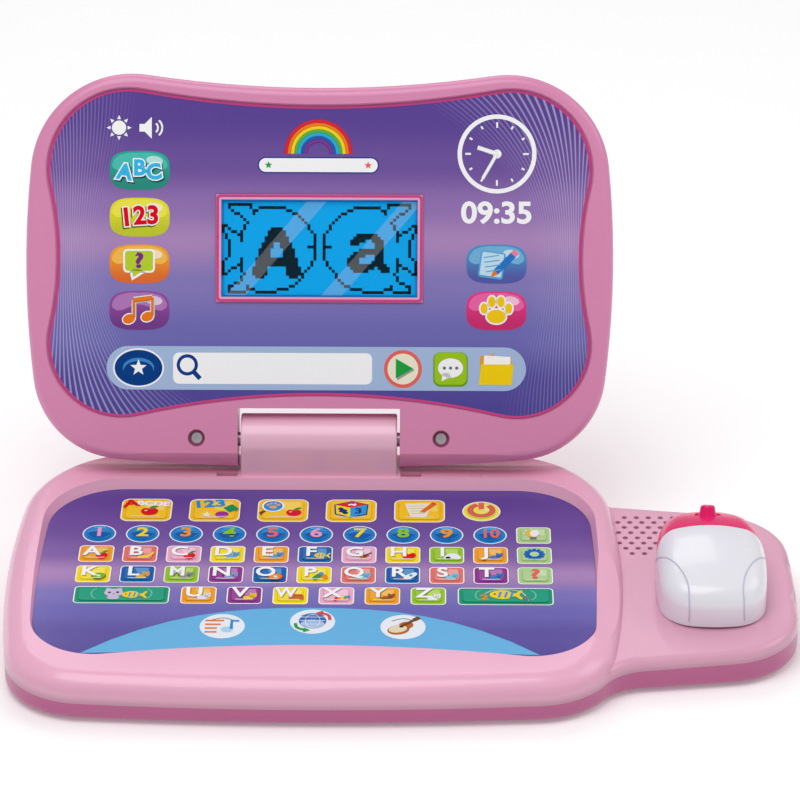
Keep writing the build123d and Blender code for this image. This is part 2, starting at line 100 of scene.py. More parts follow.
class LaptopColours(bpy.types.PropertyGroup):
    """The colours of the moulded parts and of the printed backgrounds."""

    deck_pink: tint("Deck", (246, 181, 209), "Top half of the base")
    lid_pink: tint("Lid", (251, 122, 190), "Both halves of the lid")
    belly_pink: tint("Underside", (186, 92, 140), "Bottom half of the base")
    # Edge line: painted shade, the deep pink of the shaded recess walls round the display and the lid's
    # print.
    edge_shade_pink: tint("Edge line", (208, 62, 134), "Line round the display and the lid's print")
    mouse_white: tint("Mouse", (240, 239, 247), "Hand rest of the mouse")
    button_pink: tint("Mouse button", (240, 24, 112), "Pink cap of the mouse")
    print_purple: tint("Print, dark", (92, 66, 152), "Dark ends of the printed background")
    print_mauve: tint("Print, light", (176, 138, 192), "Light band of the printed background")
    print_blue: tint("Print, blue", (106, 184, 232), "Field in front of the keys")
    display_blue: tint("Display", (0, 160, 228), "Background of the liquid crystal display")


class LaptopSizes(bpy.types.PropertyGroup):
    """Sizes of prints and studio."""

    key_line: FloatProperty(
        name="Key outline", description="Width of the white line round a key, in millimetres", default=0.5,
        min=0.1,
    )
    moulding_grain: FloatProperty(
        name="Moulding grain", description="Repeats per metre of the fine texture of the plastic",
        default=900, min=10,
    )
    focal_length: FloatProperty(
        name="Lens", description="Focal length of the camera", default=169.86, min=20,
        subtype="DISTANCE_CAMERA",
    )
    light_strength: FloatProperty(
        name="Key light", description="Power of the main soft light", default=15, min=0, unit="POWER",
    )


def colours():
    return bpy.context.scene.laptop_colours


def sizes():
    return bpy.context.scene.laptop_sizes


# Materials
def socket_list(group, entries, way):
    for kind, name, value in entries:
        made = group.interface.new_socket(name=name, in_out=way, socket_type="NodeSocket" + kind)
        if value is not None:
            made.default_value = value


def moulded_group():
    """Colour, roughness and height of moulded or printed plastic, which vary a little over the surface."""
    if "moulded_surface" in bpy.data.node_groups:
        return bpy.data.node_groups["moulded_surface"]
    group = bpy.data.node_groups.new("moulded_surface", "ShaderNodeTree")
    ins = [
        ("Color", "Colour", (1, 1, 1, 1)), ("Float", "Roughness", 0.4), ("Float", "Grain", 900.0),
        ("Float", "Unevenness", 0.06), ("Float", "Handling", 0.05),
    ]
    socket_list(group, ins, "INPUT")
    socket_list(
        group, [("Color", "Colour", None), ("Float", "Roughness", None), ("Float", "Height", None)], "OUTPUT"
    )
    nodes, links = group.nodes, group.links
    start, end = nodes.new("NodeGroupInput"), nodes.new("NodeGroupOutput")
    place = nodes.new("ShaderNodeTexCoord")
    cloud = nodes.new("ShaderNodeTexNoise")
    cloud.inputs["Scale"].default_value = 14
    cloud.inputs["Detail"].default_value = 3
    grain = nodes.new("ShaderNodeTexNoise")
    grain.inputs["Detail"].default_value = 2
    rubbed = nodes.new("ShaderNodeTexNoise")
    rubbed.inputs["Scale"].default_value = 45
    rubbed.inputs["Detail"].default_value = 4
    for noise in (cloud, grain, rubbed):
        links.new(place.outputs["Object"], noise.inputs["Vector"])
    links.new(start.outputs["Grain"], grain.inputs["Scale"])
    shade = nodes.new("ShaderNodeHueSaturation")
    value = nodes.new("ShaderNodeMath")
    value.operation = "SUBTRACT"
    value.inputs[1].default_value = 0.5
    links.new(cloud.outputs["Fac"], value.inputs[0])
    swing = nodes.new("ShaderNodeMath")
    swing.operation = "MULTIPLY_ADD"
    swing.inputs[2].default_value = 1
    links.new(value.outputs[0], swing.inputs[0])
    links.new(start.outputs["Unevenness"], swing.inputs[1])
    links.new(swing.outputs[0], shade.inputs["Value"])
    links.new(start.outputs["Colour"], shade.inputs["Color"])
    wear = nodes.new("ShaderNodeMath")
    wear.operation = "MULTIPLY_ADD"
    links.new(rubbed.outputs["Fac"], wear.inputs[0])
    links.new(start.outputs["Handling"], wear.inputs[1])
    links.new(start.outputs["Roughness"], wear.inputs[2])
    links.new(shade.outputs["Color"], end.inputs["Colour"])
    links.new(wear.outputs[0], end.inputs["Roughness"])
    links.new(grain.outputs["Fac"], end.inputs["Height"])
    return group


def shader(name):
    made = bpy.data.materials.new(name)
    made.use_nodes = True
    return made, made.node_tree, made.node_tree.nodes["Principled BSDF"]


def plastic(
    name, colour, roughness=0.35, coat=0.0, grain=None, unevenness=0.06, bump=0.04, metallic=0.0, source=None,
    see_through=1.0, glow=0.0, specular=0.5,
):
    """A finish from its colour. source, where given, is a socket that carries a drawn colour."""
    if name in bpy.data.materials:
        return bpy.data.materials[name]
    made, tree, principled = shader(name)
    surface = tree.nodes.new("ShaderNodeGroup")
    surface.node_tree = moulded_group()
    surface.inputs["Colour"].default_value = (*colour, 1)
    surface.inputs["Roughness"].default_value = roughness
    surface.inputs["Grain"].default_value = grain or sizes().moulding_grain
    surface.inputs["Unevenness"].default_value = unevenness
    if source:
        tree.links.new(source(tree), surface.inputs["Colour"])
    tree.links.new(surface.outputs["Colour"], principled.inputs["Base Color"])
    tree.links.new(surface.outputs["Roughness"], principled.inputs["Roughness"])
    if bump:
        relief = tree.nodes.new("ShaderNodeBump")
        relief.inputs["Strength"].default_value = bump
        relief.inputs["Distance"].default_value = 0.0002
        tree.links.new(surface.outputs["Height"], relief.inputs["Height"])
        tree.links.new(relief.outputs["Normal"], principled.inputs["Normal"])
    principled.inputs["Coat Weight"].default_value = coat
    principled.inputs["Coat Roughness"].default_value = 0.08
    principled.inputs["Metallic"].default_value = metallic
    principled.inputs["Specular IOR Level"].default_value = specular
    principled.inputs["Alpha"].default_value = see_through
    if glow:
        tree.links.new(surface.outputs["Colour"], principled.inputs["Emission Color"])
        principled.inputs["Emission Strength"].default_value = glow
    return made


# Inks that more than one print uses
COMMON_INKS = {
    "white": (255, 255, 255),
    "black": (25, 22, 30),
    "navy": (10, 60, 140),
    "red": (228, 18, 30),
    "leaf": (60, 150, 60),
    "tangerine": (245, 140, 30),
    "fish_yellow": (255, 215, 30),
    "fish_blue": (60, 160, 215),
    "coral": (238, 105, 95),
    "guitar": (190, 105, 30),
    "snow": (240, 246, 252),
    "tune": (240, 125, 25),
    "badge": (0, 62, 135),
    "speech_lime": (188, 214, 50),
    "neck": (125, 75, 20),
    "go_green": (30, 165, 65),
}


def ink(name, *swatch):
    """A printing ink under the clear film. A common one needs only its name."""
    return plastic(
        "ink_" + name, rgb(*(swatch or COMMON_INKS[name])), roughness=0.36, unevenness=0.03, bump=0,
        specular=0.1,
    )


def on_surface(tree, place):
    """Millimetres along the deck or the lid, as three sockets."""
    where = tree.nodes.new("ShaderNodeTexCoord")
    turn = tree.nodes.new("ShaderNodeMapping")
    turn.vector_type = "TEXTURE"
    spot, rotation, scale = place.decompose()
    turn.inputs["Location"].default_value = spot
    turn.inputs["Rotation"].default_value = rotation.to_euler()
    turn.inputs["Scale"].default_value = scale
    apart = tree.nodes.new("ShaderNodeSeparateXYZ")
    tree.links.new(where.outputs["Object"], turn.inputs["Vector"])
    tree.links.new(turn.outputs["Vector"], apart.inputs["Vector"])
    return apart.outputs


def ramp(tree, value, low, high, stops):
    """Colours along a value. stops are (value, colour) pairs."""
    scale = tree.nodes.new("ShaderNodeMapRange")
    scale.inputs["From Min"].default_value = low
    scale.inputs["From Max"].default_value = high
    tree.links.new(value, scale.inputs["Value"])
    band = tree.nodes.new("ShaderNodeValToRGB")
    band.color_ramp.interpolation = "EASE"
    keys = band.color_ramp.elements
    while len(keys) < len(stops):
        keys.new(0.5)
    for key, (at, _) in zip(keys, stops):
        key.position = (at - low) / (high - low)
    for key, (_, colour) in zip(keys, stops):
        key.color = (*colour, 1)
    tree.links.new(scale.outputs["Result"], band.inputs["Fac"])
    return band.outputs["Color"]


def set_finish(node, *finishes):
    slots = NODES[node].material_slots
    for slot, finish in zip(slots, finishes * len(slots)):
        slot.material = finish


# Flat shapes of the prints, in millimetres. Each maker leaves a mesh or a curve as the active object.
def deselect():
    bpy.ops.object.select_all(action="DESELECT")


def held(ink_used, x, y, layer, turn):
    """Ink the active flat shape and put it at its place. It keeps its layer for finish_print."""
    piece = bpy.context.object
    piece.data.materials.clear()
    piece.data.materials.append(ink_used)
    piece.location = (x, y, 0)
    piece.rotation_euler = (0, 0, radians(turn))
    piece["layer"] = layer
    return piece


def disc(ink_used, x, y, width, height=None, layer=1, turn=0, sides=36):
    deselect()
    bpy.ops.mesh.primitive_circle_add(vertices=sides, radius=0.5, fill_type="NGON")
    piece = held(ink_used, x, y, layer, turn)
    piece.scale = (width, height or width, 1)
    return piece


def hoop(ink_used, x, y, outer, inner, layer=1, sides=48):
    """A ring between two diameters."""
    deselect()
    bpy.ops.mesh.primitive_circle_add(vertices=sides, radius=outer / 2, fill_type="NGON")
    hollow((outer - inner) / 2)
    return held(ink_used, x, y, layer, 0)


def hollow(bar):
    bpy.ops.object.mode_set(mode="EDIT")
    bpy.ops.mesh.select_all(action="SELECT")
    bpy.ops.mesh.inset(thickness=bar)
    bpy.ops.mesh.delete(type="FACE")
    bpy.ops.object.mode_set(mode="OBJECT")


def card(ink_used, x, y, width, height, corner=0, layer=1, turn=0, bar=0, segments=5):
    """A rectangle with round corners, or only its border where a bar is given."""
    deselect()
    bpy.ops.mesh.primitive_plane_add(size=1)
    bpy.context.object.scale = (width, height, 1)
    bpy.ops.object.transform_apply()
    if corner:
        bpy.ops.object.mode_set(mode="EDIT")
        bpy.ops.mesh.select_all(action="SELECT")
        bpy.ops.mesh.bevel(offset=corner, segments=segments, affect="VERTICES")
        bpy.ops.object.mode_set(mode="OBJECT")
    if bar:
        hollow(bar)
    return held(ink_used, x, y, layer, turn)


def drawn(points, closed, smooth):
    deselect()
    if closed:
        bpy.ops.curve.primitive_bezier_circle_add()
    else:
        bpy.ops.curve.primitive_bezier_curve_add()
    curve = bpy.context.object.data
    line = curve.splines[0]
    line.bezier_points.add(len(points) - len(line.bezier_points))
    for knot, (x, y) in zip(line.bezier_points, points):
        knot.co = (x, y, 0)
        knot.handle_left_type = knot.handle_right_type = "AUTO" if smooth else "VECTOR"
    curve.resolution_u = 5 if smooth else 1
    return curve


def shape(ink_used, points, x=0, y=0, layer=1, turn=0, smooth=True, size=1.0):
    """A filled outline through the given points. It needs at least four."""
    curve = drawn(points, True, smooth)
    curve.dimensions = "2D"
    curve.fill_mode = "BOTH"
    bpy.ops.object.convert(target="MESH")
    piece = held(ink_used, x, y, layer, turn)
    piece.scale = (size, size, 1)
    return piece


def stroke(ink_used, points, width, x=0, y=0, layer=1, turn=0, smooth=True):
    """A pen line, nearly flat."""
    curve = drawn(points, False, smooth)
    curve.dimensions = "3D"
    curve.bevel_depth = width / 2
    curve.bevel_resolution = 1
    curve.use_fill_caps = True
    bpy.ops.object.convert(target="MESH")
    piece = held(ink_used, x, y, layer, turn)
    piece.scale = (1, 1, 0.02 / width)
    return piece


def lettering(ink_used, words, x, y, size, bold=0.0, stretch=1.0, layer=1, turn=0):
    deselect()
    bpy.ops.object.text_add()
    text = bpy.context.object.data
    text.body = words
    text.align_x = "CENTER"
    text.align_y = "CENTER"
    text.size = size
    text.offset = bold
    text.resolution_u = 4
    bpy.ops.object.convert(target="MESH")
    piece = held(ink_used, x, y, layer, turn)
    piece.scale = (stretch, 1, 1)
    return piece


def finish_print(name, shapes, place, level, body):
    """Join flat shapes into one print on a surface."""
    deselect()
    for piece in shapes:
        piece.select_set(True)
    bpy.context.view_layer.objects.active = shapes[0]
    for piece in shapes:
        piece.location.z = level + piece["layer"] * LAYER
    bpy.ops.object.transform_apply()
    if len(shapes) > 1:
        bpy.ops.object.join()
    done = bpy.context.object
    done.matrix_world = place
    bpy.ops.object.transform_apply()
    done.name = name
    done.data.name = name
    del done["layer"]
    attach(done, body)
    return done


# Small generic pictures, drawn about their own middle, about five millimetres wide
def fruit(x, y, skin, layer, size=1.0):
    green = ink("leaf")
    body = [
        (-2.1, 0.4), (-1, 1.5), (0, 1.2), (1, 1.5), (2.1, 0.4), (1.5, -1.4), (0.4, -1.9), (-0.4, -1.9),
        (-1.5, -1.4),
    ]
    leaf = [(0, 1.2), (0.5, 2.3), (2, 2.5), (1.2, 1.6)]
    shine = ink("shine", 255, 190, 190)
    return [
        shape(skin, body, x, y, layer, size=size),
        shape(green, leaf, x, y, layer + 1, size=size),
        disc(shine, x - 0.9 * size, y + 0.3 * size, 0.9 * size, 0.6 * size, layer + 1, 30, 12),
    ]


def animal(x, y, fur, dark, layer, size=1.0):
    return [
        disc(fur, x - 0.7 * size, y - 0.7 * size, 4 * size, 2.3 * size, layer, 0, 20),
        disc(fur, x + 1.1 * size, y + 0.5 * size, 2.7 * size, 2.4 * size, layer, 0, 20),
        disc(fur, x + 0.2 * size, y + 1.6 * size, 0.9 * size, 1.1 * size, layer, 0, 12),
        disc(fur, x + 2.0 * size, y + 1.6 * size, 0.9 * size, 1.1 * size, layer, 0, 12),
        disc(dark, x + 0.7 * size, y + 0.7 * size, 0.4 * size, None, layer + 1, 0, 8),
        disc(dark, x + 1.6 * size, y + 0.7 * size, 0.4 * size, None, layer + 1, 0, 8),
        disc(dark, x + 1.2 * size, y + 0.1 * size, 0.6 * size, 0.35 * size, layer + 1, 0, 8),
        stroke(dark, [(-2.6, -0.6), (-3.1, 0.4), (-2.6, 1.0)], 0.35, x, y, layer),
    ]


def fish(x, y, skin, stripe, layer, size=1.0, turn=0):
    body = [
        (-2.6, 0), (-1.2, 1.5), (0.8, 1.5), (2.2, 0.5), (3.6, 1.6), (3.1, 0), (3.6, -1.6), (2.2, -0.5),
        (0.8, -1.4), (-1.2, -1.3),
    ]
    parts = [shape(skin, body, x, y, layer, turn, size=size)]
    for at in (-0.7, 0.5, 1.6):
        parts.append(
            shape(
                stripe, [(at, 1.1), (at + 0.5, 1.1), (at + 0.1, -1), (at - 0.4, -1)], x, y, layer + 1, turn,
                False, size,
            )
        )
    parts.append(
        disc(
            ink("black"), x - 1.6 * size * cos(radians(turn)), y + 0.25 * size, 0.5 * size, None, layer + 1,
            0, 8,
        )
    )
    return parts


def star(x, y, radius, used, layer, points=5, inner=0.42):
    outline = []
    for i in range(points * 2):
        reach = radius if i % 2 == 0 else radius * inner
        angle = pi / 2 + i * pi / points
        outline.append((reach * cos(angle), reach * sin(angle)))
    return shape(used, outline, x, y, layer, smooth=False)


# Keys
KEY_INKS = {
    "orange": (250, 165, 15),
    "salmon": (238, 120, 108),
    "rose": (244, 178, 208),
    "yellow": (255, 228, 0),
    "blue": (0, 98, 180),
    "lime": (155, 205, 25),
    "violet": (150, 52, 148),
    "mode": (252, 198, 8),
    "power": (250, 235, 80),
    "number": (0, 130, 210),
    "function": (178, 216, 142),
    "wide": (0, 155, 115),
}
LETTER_COLOURS = {
    "orange": "aejuy",
    "salmon": "bqs",
    "rose": "cgx",
    "yellow": "dhkpw",
    "blue": "flor",
    "lime": "imz",
    "violet": "ntv",
}
PITCH = 18.0
ROWS = (-15.95, -31.8, -47.8)
LAST_ROW_LEFT, LAST_ROW_PITCH = -46.2, 18.55
MODE_ROW, MODE_LEFT, MODE_PITCH = 19.4, -71.7, 28.6
POWER_X = 68.6
WIDE_X = {"wide_key_left": -77.3, "wide_key_right": 77.7}
LETTER_KEY = (14.4, 13.0)
MODE_KEY = (21.3, 18.3)
WIDE_KEY = (38.7, 13.0)
NUMBER_KEY = 13.9
POWER_KEY = 16.0


def letter_places():
    """Where each letter key stands on the deck."""
    places = {}
    for first, y in (("a", ROWS[0]), ("k", ROWS[1])):
        for i in range(10):
            places[chr(ord(first) + i)] = ((i - 5) * PITCH, y)
    for i, letter in enumerate("uvwxyz"):
        places[letter] = (LAST_ROW_LEFT + LAST_ROW_PITCH * i, ROWS[2])
    return places


def paler(swatch, share):
    return tuple(v + (255 - v) * share for v in swatch)


def paler_tone(tone, share):
    return tuple(v + (1 - v) * share for v in tone)


def deeper(swatch, share):
    return tuple(v * (1 - share) for v in swatch)


def key_plastic(kind):
    """The cap of a key: its print colour, with painted light on the raised dome: a darker band low on the
    dome as painted shade and a paler top as painted highlight.
    """
    base = KEY_INKS[kind]

    def colour(tree):
        # Painted light by height: darker low on the dome as painted shade, paler near its top as painted
        # highlight.
        height = on_surface(tree, DECK)["Z"]
        return ramp(
            tree, height, 0, DOME_TOP,
            [(0.06, rgb(*base)), (0.2, rgb(*deeper(base, 0.22))), (0.5, rgb(*paler(base, 0.1)))],
        )

    return plastic(
        "key_" + kind, rgb(*base), roughness=0.22, coat=0.06, unevenness=0.03, bump=0.02, source=colour,
        specular=0.2,
    )


def key_painted_highlights(kind, x, y, width, height, layer=1):
    """Painted highlights on a dome: a pale fan at the upper right and a thin bright line at the foot, both
    painted reflections.
    """
    base = KEY_INKS[kind]
    pale = ink(kind + "_pale", *paler(base, 0.38))
    half_x, half_y = width / 2, height / 2
    fan = [
        (0.05 * half_x, -0.1 * half_y), (-0.25 * half_x, 0.88 * half_y), (0.86 * half_x, 0.86 * half_y),
        (0.88 * half_x, -0.2 * half_y),
    ]
    line = [(-0.7 * half_x, -0.84 * half_y), (0, -0.88 * half_y), (0.7 * half_x, -0.84 * half_y)]
    # Painted highlights: a pale fan and a bright line stand for reflections on the glossy dome.
    return [
        shape(pale, fan, x, y, layer, smooth=False),
        stroke(ink("gleam", 255, 250, 240), line, 0.45, x, y, layer + 3),
    ]


def key_line(x, y, width, height, corner):
    """The white line round the foot of a cap."""
    return card(ink("white"), x, y, width, height, corner, OUTLINE, bar=sizes().key_line)


def round_key_line(x, y, width):
    return hoop(ink("white"), x, y, width, width - 2 * sizes().key_line, OUTLINE)


def picture(letter, x, y, layer):
    """The small picture that goes with a letter."""
    black = ink("black")
    red = ink("red")
    furs = {
        "d": (110, 175, 225), "e": (95, 160, 215), "l": (240, 180, 60), "m": (150, 150, 150),
        "n": (150, 165, 215), "q": (120, 200, 235),
        "s": (130, 205, 230), "u": (235, 235, 245), "v": (250, 205, 40), "y": (170, 95, 35),
        "z": (245, 245, 245), "t": (40, 130, 200), "j": (80, 120, 200),
    }
    if letter in furs:
        return animal(x, y, ink("fur_" + letter, *furs[letter]), black, layer, 0.95)
    if letter in "ac":
        return fruit(x, y - 0.3, red, layer, 1.0)
    if letter == "h":
        return [
            shape(red, [(0, 1), (1.4, 1.8), (2.6, 0.6), (0, -1.9), (-2.6, 0.6), (-1.4, 1.8)], x, y, layer)
        ]
    if letter == "b":
        return [
            shape(
                ink("banana", 255, 215, 40),
                [(-2.8, -1.2), (0, -1.7), (2.4, 0), (2.7, 1.8), (1.7, 0.6), (-0.4, -0.3)], x, y, layer,
            )
        ]
    if letter == "f":
        return fish(x, y, ink("fish_yellow"), ink("fish_blue"), layer, 0.9)
    if letter in "ko":
        skin = ink("kiwi", 120, 190, 50) if letter == "k" else ink("tangerine")
        parts = [
            disc(ink("peel", 120, 90, 50) if letter == "k" else red, x, y - 0.6, 5.2, 3.6, layer, 10, 24),
            disc(skin, x, y - 0.5, 4.5, 3.1, layer + 1, 10, 24),
        ]
        return parts + [disc(ink("cream", 245, 240, 215), x, y - 0.5, 1.4, 1.1, layer + 2, 0, 12)]
    if letter == "p":
        return [
            shape(ink("leaf"), [(-2.4, -2), (-1.4, 0.6), (0.6, 1.4), (0.4, -0.8)], x, y, layer),
            disc(ink("fish_blue"), x + 0.4, y + 1.2, 1.9, 1.9, layer + 1, 0, 14),
            disc(ink("tangerine"), x + 1.5, y - 0.4, 2.4, 2.9, layer, 20, 16),
        ]
    if letter == "g":
        brown = ink("guitar")
        return [
            disc(brown, x - 0.6, y - 0.6, 2.6, 2.3, layer, 0, 16),
            disc(brown, x + 0.6, y + 0.1, 1.9, 1.8, layer, 0, 16),
            stroke(black, [(0, 0), (2.4, 1.8)], 0.5, x, y, layer + 1),
            disc(black, x - 0.2, y - 0.3, 0.8, None, layer + 1, 0, 10),
        ]
    if letter == "i":
        white = ink("snow")
        return [
            shape(
                white, [(-2.9, -1.5), (-2.2, 0.6), (0, 1.6), (2.2, 0.6), (2.9, -1.5), (0, -1.6)], x, y, layer
            ),
            disc(black, x - 1.6, y - 1, 1.8, 1.4, layer + 1, 0, 14),
        ]
    if letter == "r":
        white = ink("snow")
        return [
            shape(white, [(-1.8, -1.2), (0.4, 1.3), (2.9, 1.9), (1.8, -0.6), (-0.9, -1.9)], x, y, layer),
            disc(ink("fish_blue"), x + 0.9, y + 0.4, 1.2, None, layer + 1, 0, 14),
            shape(red, [(-1.6, -1), (-3, -0.6), (-2.6, -1.8), (-1.4, -2)], x, y, layer, smooth=False),
        ]
    if letter == "w":
        return [
            card(ink("waffle", 205, 110, 40), x, y - 0.4, 5.2, 2.4, 0.5, layer, 0),
            card(red, x + 0.3, y + 0.9, 3.6, 0.8, 0.3, layer, 0),
        ]
    bars = []
    for i, swatch in enumerate(
        ((225, 30, 40), (245, 150, 30), (250, 220, 40), (70, 180, 80), (60, 140, 210))
    ):
        bars.append(
            card(
                ink(f"bar_{i}", *swatch), x - 2.2 + 1.1 * i, y - 1.2 + 0.3 * i, 1.0, 2.2 - 0.2 * i, 0.15,
                layer, -15,
            )
        )
    return bars


def enlarged(pieces, x, y, wider, taller):
    """Flat shapes scaled about a point."""
    for piece in pieces:
        piece.location.x = x + (piece.location.x - x) * wider
        piece.location.y = y + (piece.location.y - y) * taller
        piece.scale.x *= wider
        piece.scale.y *= taller
    return pieces


class MAKE_OT_letter_keys(bpy.types.Operator):
    """Print a white letter, its shadow and a small picture inside the dome of each letter key."""

    bl_idname = "laptop.letter_keys"
    bl_label = "Letter keys"

    def execute(self, context):
        white = ink("white")
        kinds = {letter: kind for kind, letters in LETTER_COLOURS.items() for letter in letters}
        for letter, (x, y) in letter_places().items():
            node = "letter_key_" + letter
            kind = kinds[letter]
            set_finish(node, key_plastic(kind))
            shadow = ink(kind + "_shadow", *deeper(KEY_INKS[kind], 0.35))
            parts = key_painted_highlights(kind, x, y, LETTER_KEY[0] - 4, LETTER_KEY[1] - 4)
            parts += enlarged(picture(letter, x + 2.4, y - 1.7, 3), x + 2.4, y - 1.7, 1.15, 1.35)
            wide = {"w": 0.82, "m": 0.9}.get(letter, 1.06)
            parts.append(lettering(shadow, letter.upper(), x - 1.4, y + 0.6, 9.6, 0.26, wide, 2))
            parts.append(lettering(white, letter.upper(), x - 1.75, y + 0.95, 9.6, 0.26, wide, 6))
            parts.append(key_line(x, y, *LETTER_KEY, 2))
            finish_print(f"print_letter_{letter}", parts, DECK, DOME_TOP, node)
        return {"FINISHED"}


class MAKE_OT_number_keys(bpy.types.Operator):
    """Print the numbers from one to ten on the round keys."""

    bl_idname = "laptop.number_keys"
    bl_label = "Number keys"

    def execute(self, context):
        swatches = {
            "pink": (245, 160, 200), "yellow": (255, 225, 0), "orange": (250, 160, 20),
            "lime": (150, 205, 20), "coral": (240, 110, 100),
        }
        order = ("pink", "yellow", "orange", "lime", "coral", "pink", "yellow", "lime", "orange", "coral")
        set_finish("number_keys", key_plastic("number"))
        light = ink("number_light", 70, 175, 235)
        dark = ink("number_dark", 0, 95, 175)
        parts = []
        for i, kind in enumerate(order):
            x = (i - 5) * PITCH
            crest = [
                (-4.5, 0.6), (-2.4, 1.4), (0, 1.0), (2.4, 1.4), (4.6, 0.6), (4.0, -2.0), (2.2, -4.0),
                (0, -4.7), (-2.2, -4.0), (-4.0, -2.0),
            ]
            parts.append(shape(dark, crest, x, 0, 1))
            parts.append(stroke(light, [(-4.6, 0.1), (-2, 1.3), (1.5, 0.9), (4.6, 0.1)], 0.5, x, 0, 2))
            parts.append(shape(light, [(-2.6, 4.1), (0, 4.9), (2.6, 4.1), (0, 3.7)], x, 0, 2))
            colour = ink("digit_" + kind, *swatches[kind])
            parts.append(lettering(colour, str(i + 1), x, 0.1, 9.4, 0.26, 1.1 if i < 9 else 0.85, 4))
            parts.append(round_key_line(x, 0, NUMBER_KEY))
        finish_print("print_numbers", parts, DECK, DOME_TOP, "number_keys")
        return {"FINISHED"}


class MAKE_OT_mode_keys(bpy.types.Operator):
    """Print the pictures on the five mode keys and the mark on the power key."""

    bl_idname = "laptop.mode_keys"
    bl_label = "Mode and power keys"

    def execute(self, context):
        red = ink("red")
        white, blue = ink("white"), ink("sky", 20, 150, 225)
        y = MODE_ROW
        jobs = ("word", "count", "logic", "game", "note")
        marks = {
            job: key_painted_highlights("mode", MODE_LEFT + MODE_PITCH * i, y, 17.0, 14.0)
            for i, job in enumerate(jobs)
        }

        x = MODE_LEFT
        marks["word"] += fruit(x + 1.4, y - 2.0, red, 4, 1.7)
        marks["word"].append(lettering(red, "A", x - 6.6, y + 4.2, 7.5, 0.3, 1.3, 5, 8))
        marks["word"].append(lettering(white, "BCDE", x + 2.6, y + 4.0, 5.0, 0.22, 1.1, 5, -3))

        x += MODE_PITCH
        marks["count"].append(lettering(blue, "123", x - 2.4, y + 4.0, 7.4, 0.3, 1.25, 5, 6))
        marks["count"].append(star(x - 3.2, y - 4.6, 2.6, ink("cream", 255, 246, 190), 4))
        marks["count"].append(disc(ink("plum", 160, 50, 150), x + 3.2, y - 4.4, 5.6, 5.0, 4))
        marks["count"].append(card(ink("pine", 0, 150, 95), x + 6.8, y + 0.6, 4.8, 4.8, 0.2, 4, 40))

        x += MODE_PITCH
        marks["logic"] += fruit(x + 4.6, y - 2.6, red, 4, 1.5)
        marks["logic"].append(disc(white, x - 4.2, y + 2.6, 9.4, 9.4, 4))
        marks["logic"].append(disc(blue, x - 4.2, y + 2.6, 8.0, 8.0, 5))
        marks["logic"].append(
            stroke(ink("handle", 150, 60, 30), [(0, 0), (-1.9, -2.0)], 1.6, x - 7.6, y - 1.4, 4)
        )
        marks["logic"] += [
            disc(ink("paw", 240, 170, 90), x - 4.2 + dx, y + 2.6 + dy, w, h, 6, 0, 14)
            for dx, dy, w, h in (
                (0, -1, 3.2, 2.6), (-2.2, 0.8, 1.3, 1.7), (-0.8, 2, 1.3, 1.8), (0.9, 2, 1.3, 1.8),
                (2.2, 0.8, 1.3, 1.7),
            )
        ]

        x += MODE_PITCH
        faces = (
            ("cube_red", (228, 40, 40), [(-6.6, 3.6), (0.2, 6.2), (6.6, 3.8), (-0.4, 1.4)]),
            ("cube_blue", (40, 160, 225), [(-0.4, 1.4), (6.6, 3.8), (6.2, -3.6), (-0.4, -6.2)]),
            ("cube_yellow", (250, 228, 20), [(-6.6, 3.6), (-0.4, 1.4), (-0.4, -6.2), (-6.2, -3.4)]),
        )
        marks["game"].append(
            shape(
                ink("navy"), [(-7.2, 4.0), (0.2, 6.9), (7.2, 4.2), (6.7, -4.1), (-0.4, -6.9), (-6.8, -3.9)],
                x, y, 4, smooth=False,
            )
        )
        for name, swatch, outline in faces:
            marks["game"].append(shape(ink(name, *swatch), outline, x, y, 5, smooth=False))
        marks["game"].append(lettering(white, "?", x + 0.2, y + 3.8, 4.4, 0.2, 1.3, 6, -80))
        for at in ((-4.4, 0.4), (-2.4, -2.8)):
            marks["game"].append(disc(ink("navy"), x + at[0], y + at[1], 2.4, 2.4, 6, 0, 12))
        marks["game"].append(card(ink("navy"), x - 3.4, y - 1.2, 3.0, 3.0, 0.2, 6, -20))
        marks["game"].append(lettering(ink("navy"), "3", x + 3.0, y - 1.4, 6.0, 0.2, 1.1, 6))

        x += MODE_PITCH
        marks["note"].append(
            shape(
                ink("cream", 255, 250, 205), [(-6.2, 5.2), (5.2, 5.2), (2.8, -6.0), (-3.8, -6.0)], x, y, 4,
                smooth=False,
            )
        )
        for i in range(4):
            left = -4.9 + 0.5 * i
            marks["note"].append(
                stroke(ink("rule", 190, 185, 160), [(left, 2.8 - 2 * i), (2.2, 3.2 - 2 * i)], 0.3, x, y, 5)
            )
        marks["note"].append(
            shape(
                ink("pencil", 235, 110, 20), [(0.2, -1.4), (4.6, 5.0), (6.6, 3.8), (2.1, -2.4)], x, y, 6,
                smooth=False,
            )
        )
        marks["note"].append(
            shape(
                ink("wood", 240, 205, 160), [(0.2, -1.4), (2.1, -2.4), (-0.4, -3.4), (-0.4, -3.4)], x, y, 6,
                smooth=False,
            )
        )
        marks["note"].append(
            shape(
                ink("rubber", 230, 70, 90), [(4.6, 5.0), (5.4, 6.2), (7.4, 5.0), (6.6, 3.8)], x, y, 6,
                smooth=False,
            )
        )
        for job in jobs:
            node = f"{job}_mode_key"
            set_finish(node, key_plastic("mode"))
            marks[job].append(key_line(MODE_LEFT + MODE_PITCH * jobs.index(job), y, *MODE_KEY, 3.4))
            finish_print(f"print_{job}", marks[job], DECK, DOME_TOP, node)

